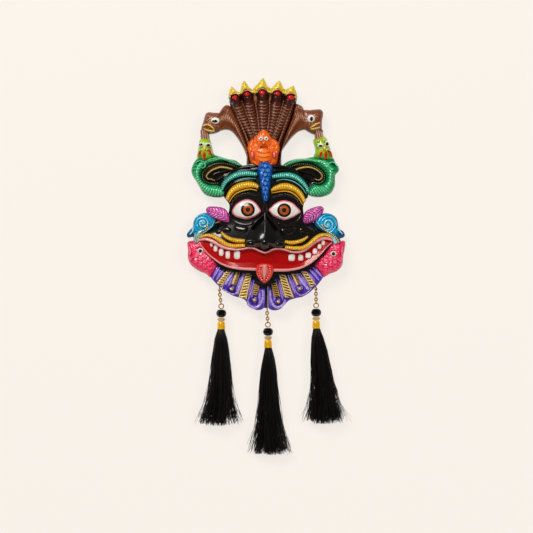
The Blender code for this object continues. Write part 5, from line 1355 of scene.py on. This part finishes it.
BEAD_ROWS = [(0.16, 0.5), (0.42, 0.49), (0.74, 0.40), (0.94, 0.2), (1.0, 0.0), (0.94, -0.2), (0.74, -0.40),
             (0.42, -0.49), (0.16, -0.5)]
SPACER_ROWS = [(0.3, 0.5), (0.66, 0.48), (0.86, 0.34), (1.0, 0.1), (1.0, -0.1), (0.86, -0.34), (0.66, -0.48),
               (0.3, -0.5)]
CAP_ROWS = [(0.1, 0.5), (0.62, 0.5), (0.74, 0.48), (0.86, 0.42), (0.93, 0.35), (0.94, 0.3), (0.91, 0.27),
            (0.94, 0.24), (0.95, 0.1), (0.96, -0.2), (0.97, -0.36), (1.0, -0.40), (1.0, -0.48),
            (0.98, -0.5), (0.86, -0.5), (0.85, -0.3), (0.84, 0.15), (0.1, 0.18)]
for side in SIDES:
    for node, rows, steps, fuller, finish, slot, fold in (
        (f"{side}_bead", BEAD_ROWS, 14, 1.09, black_glass, "black_glass", 3),
        (f"{side}_spacer", SPACER_ROWS, 14, 1.02, champagne_crystal, "champagne_glass", 3),
        (f"{side}_cap", CAP_ROWS, 48, 1.13, cap_gold, "cap_gold", 30),
    ):
        centre, size = middle_of(node)
        scaled = [(fuller * r * max(size[:2]) / 2, z * size[2]) for r, z in rows]
        part = turned(centre, scaled, steps, math.pi / steps if fold == 3 else 0.0)
        fitted(node, [part], finish, fold)

# The tassels: hundreds of black artificial silk threads folded into the cap. They hang straight from it,
# spread in locks, and end unevenly, with a few strays.
silk_thread, tree = new_material("black silk thread")
own = add_node(tree, "ShaderNodeAttribute", {}, attribute_name="lift")
tone = add_node(tree, "ShaderNodeValToRGB", {"Fac": (own, "Fac")})
tone.color_ramp.elements[0].color = linear("#050505")
tone.color_ramp.elements[1].color = linear("#151516")
silk = add_node(tree, "ShaderNodeBsdfPrincipled", {
    "Base Color": (tone, 0), "Roughness": 0.38, "Anisotropic": 0.5, "Specular IOR Level": 0.6})
add_node(tree, "ShaderNodeOutputMaterial", {"Surface": (silk, 0)})

THREADS = 780
LOCKS = 30
THREAD_ROWS = 15
THREAD_RADIUS = 0.0002
SKIRT_EDGES = {
    "left": [(325.4, 218.5, 223.9), (329.5, 218.3, 224.1), (331, 217, 224.9), (335, 215, 226.3),
             (340, 214, 227.8), (350, 212.8, 229.3), (360, 211, 230.2), (370, 209.8, 231.2),
             (381.6, 208.9, 231.8), (402, 205.3, 233.9), (417, 200.4, 237), (424, 198.5, 239)],
    "centre": [(344, 265.3, 270.7), (348, 265.1, 270.9), (349.5, 264.5, 271.9), (353, 263.5, 274),
               (360, 262.2, 275.2), (370, 260.3, 277), (381.6, 259.4, 277.8), (402, 258.2, 280.3),
               (422, 256.3, 283), (443, 253.4, 288), (453, 251, 290.4)],
    "right": [(324.7, 313.6, 319), (328.7, 313.4, 319.2), (330.2, 312.8, 320.8), (335, 311.4, 323.2),
              (340, 310.8, 324.8), (350, 310.2, 328), (360, 310, 330), (370, 310.2, 332.5),
              (381.6, 310.2, 333.9), (390, 309.5, 336.5), (402, 308.7, 338), (410, 308.2, 341),
              (422, 305.6, 343)],
}
SKIRT_ENDS = {"left": (417.5, 424.8), "centre": (448.5, 454.0), "right": (418.0, 423.0)}
TASSEL_DEPTH = -HANG_Y / DEPTH_UNIT
NEAREST_WALL = 0.6


def round_bundle(rng, count):
    """Places (a, b) spread evenly over the unit circle: the root of a random share, at a random turn."""
    reach = np.sqrt(rng.random(count))
    turn = rng.random(count) * 2 * math.pi
    return np.stack([reach * np.cos(turn), reach * np.sin(turn)], axis=-1)


def threads(side, rng):
    """Each thread keeps its place (a, b) in the round bundle: x runs between the skirt's edges by a, and y
    between its faces by b. Lower down, the places of a lock draw together, and each thread wanders a little.
    Every thread is a three-sided tube."""
    v, left, right = np.array(SKIRT_EDGES[side]).T
    locks = round_bundle(rng, LOCKS)
    spots = round_bundle(rng, THREADS) * 0.98
    nearest = np.linalg.norm(spots[:, None] - locks[None], axis=-1).argmin(1)
    short, full = SKIRT_ENDS[side]
    end = full - (full - short) * rng.random(THREADS) ** 1.5
    end = end - np.where(rng.random(THREADS) < 0.06, 9 * rng.random(THREADS), 0)
    end = end + 3.4 * rng.standard_normal(LOCKS)[nearest].clip(-1.4, 0.4) - 5.0 * np.abs(spots[:, 0]) ** 3
    stray = (rng.random(THREADS) < 0.16) * (np.abs(spots[:, 0]) > 0.5) * rng.random(THREADS)
    t = np.linspace(0, 1, THREAD_ROWS)[None, :]
    down = v[0] + (end[:, None] - v[0]) * t
    drawn = (0.85 * t**1.8)[..., None]
    spread = spots[:, None] * (1 - drawn) + locks[nearest][:, None] * drawn
    wander = np.cumsum(rng.standard_normal((THREADS, THREAD_ROWS, 2)) * 0.042, axis=1) * t[..., None] ** 1.3
    spread = (spread + wander) * (1 + 0.38 * stray[:, None, None] * t[..., None] ** 2)
    low, high = np.interp(down, v, left), np.interp(down, v, right)
    x = (low + high) / 2 + (high - low - 0.4) / 2 * spread[..., 0]
    depth = TASSEL_DEPTH + np.minimum(6.2, (high - low) / 2) * spread[..., 1]
    points = place(x, down, np.maximum(depth, NEAREST_WALL))
    angle = (np.arange(3) * 2 * math.pi / 3)[None, None, :] + rng.random(THREADS)[:, None, None] * 6
    radius = THREAD_RADIUS * np.where(stray > 0, 0.8, 1.0)[:, None, None]
    ring = np.stack(np.broadcast_arrays(radius * np.cos(angle), radius * np.sin(angle), 0.0), axis=-1)
    tubes = points[:, :, None, :] + ring
    start = np.arange(THREADS)[:, None] * THREAD_ROWS * 3
    i = start[:, :, None]
    j = np.arange(THREAD_ROWS - 1)[None, :, None] * 3
    k = np.arange(3)[None, None, :]
    n = (k + 1) % 3
    quads = np.stack([i + j + k, i + j + n, i + j + 3 + n, i + j + 3 + k], axis=-1).reshape(-1, 4)
    ends = np.vstack([start + [0, 2, 1], start + (THREAD_ROWS - 1) * 3 + [0, 1, 2]])
    shade = np.repeat(rng.random(THREADS), THREAD_ROWS * 3)
    return tubes.reshape(-1, 3), quads, ends, shade


def core(side):
    """The dark inside of the bundle: a narrower round brush that ends 36 units above the shortest threads,
    with radii from 0.43 to 0.2 of the skirt's width."""
    v, left, right = np.array(SKIRT_EDGES[side]).T
    rows = np.linspace(v[0] + 1, SKIRT_ENDS[side][0] - 36, 12)[:, None]
    low, high = np.interp(rows, v, left), np.interp(rows, v, right)
    radius = (high - low) * np.linspace(0.43, 0.2, 12)[:, None]
    turn = np.linspace(0, 2 * math.pi, 20, endpoint=False)[None, :]
    x = (low + high) / 2 + radius * np.cos(turn)
    depth = TASSEL_DEPTH + np.minimum(5.0, radius) * np.sin(turn)
    return grid(place(x, rows, depth), np.zeros_like(x))


for seed, side in enumerate(SIDES, 5):
    bundle = [threads(side, np.random.default_rng(seed)), core(side)]
    fitted(f"{side}_skirt", bundle, silk_thread)
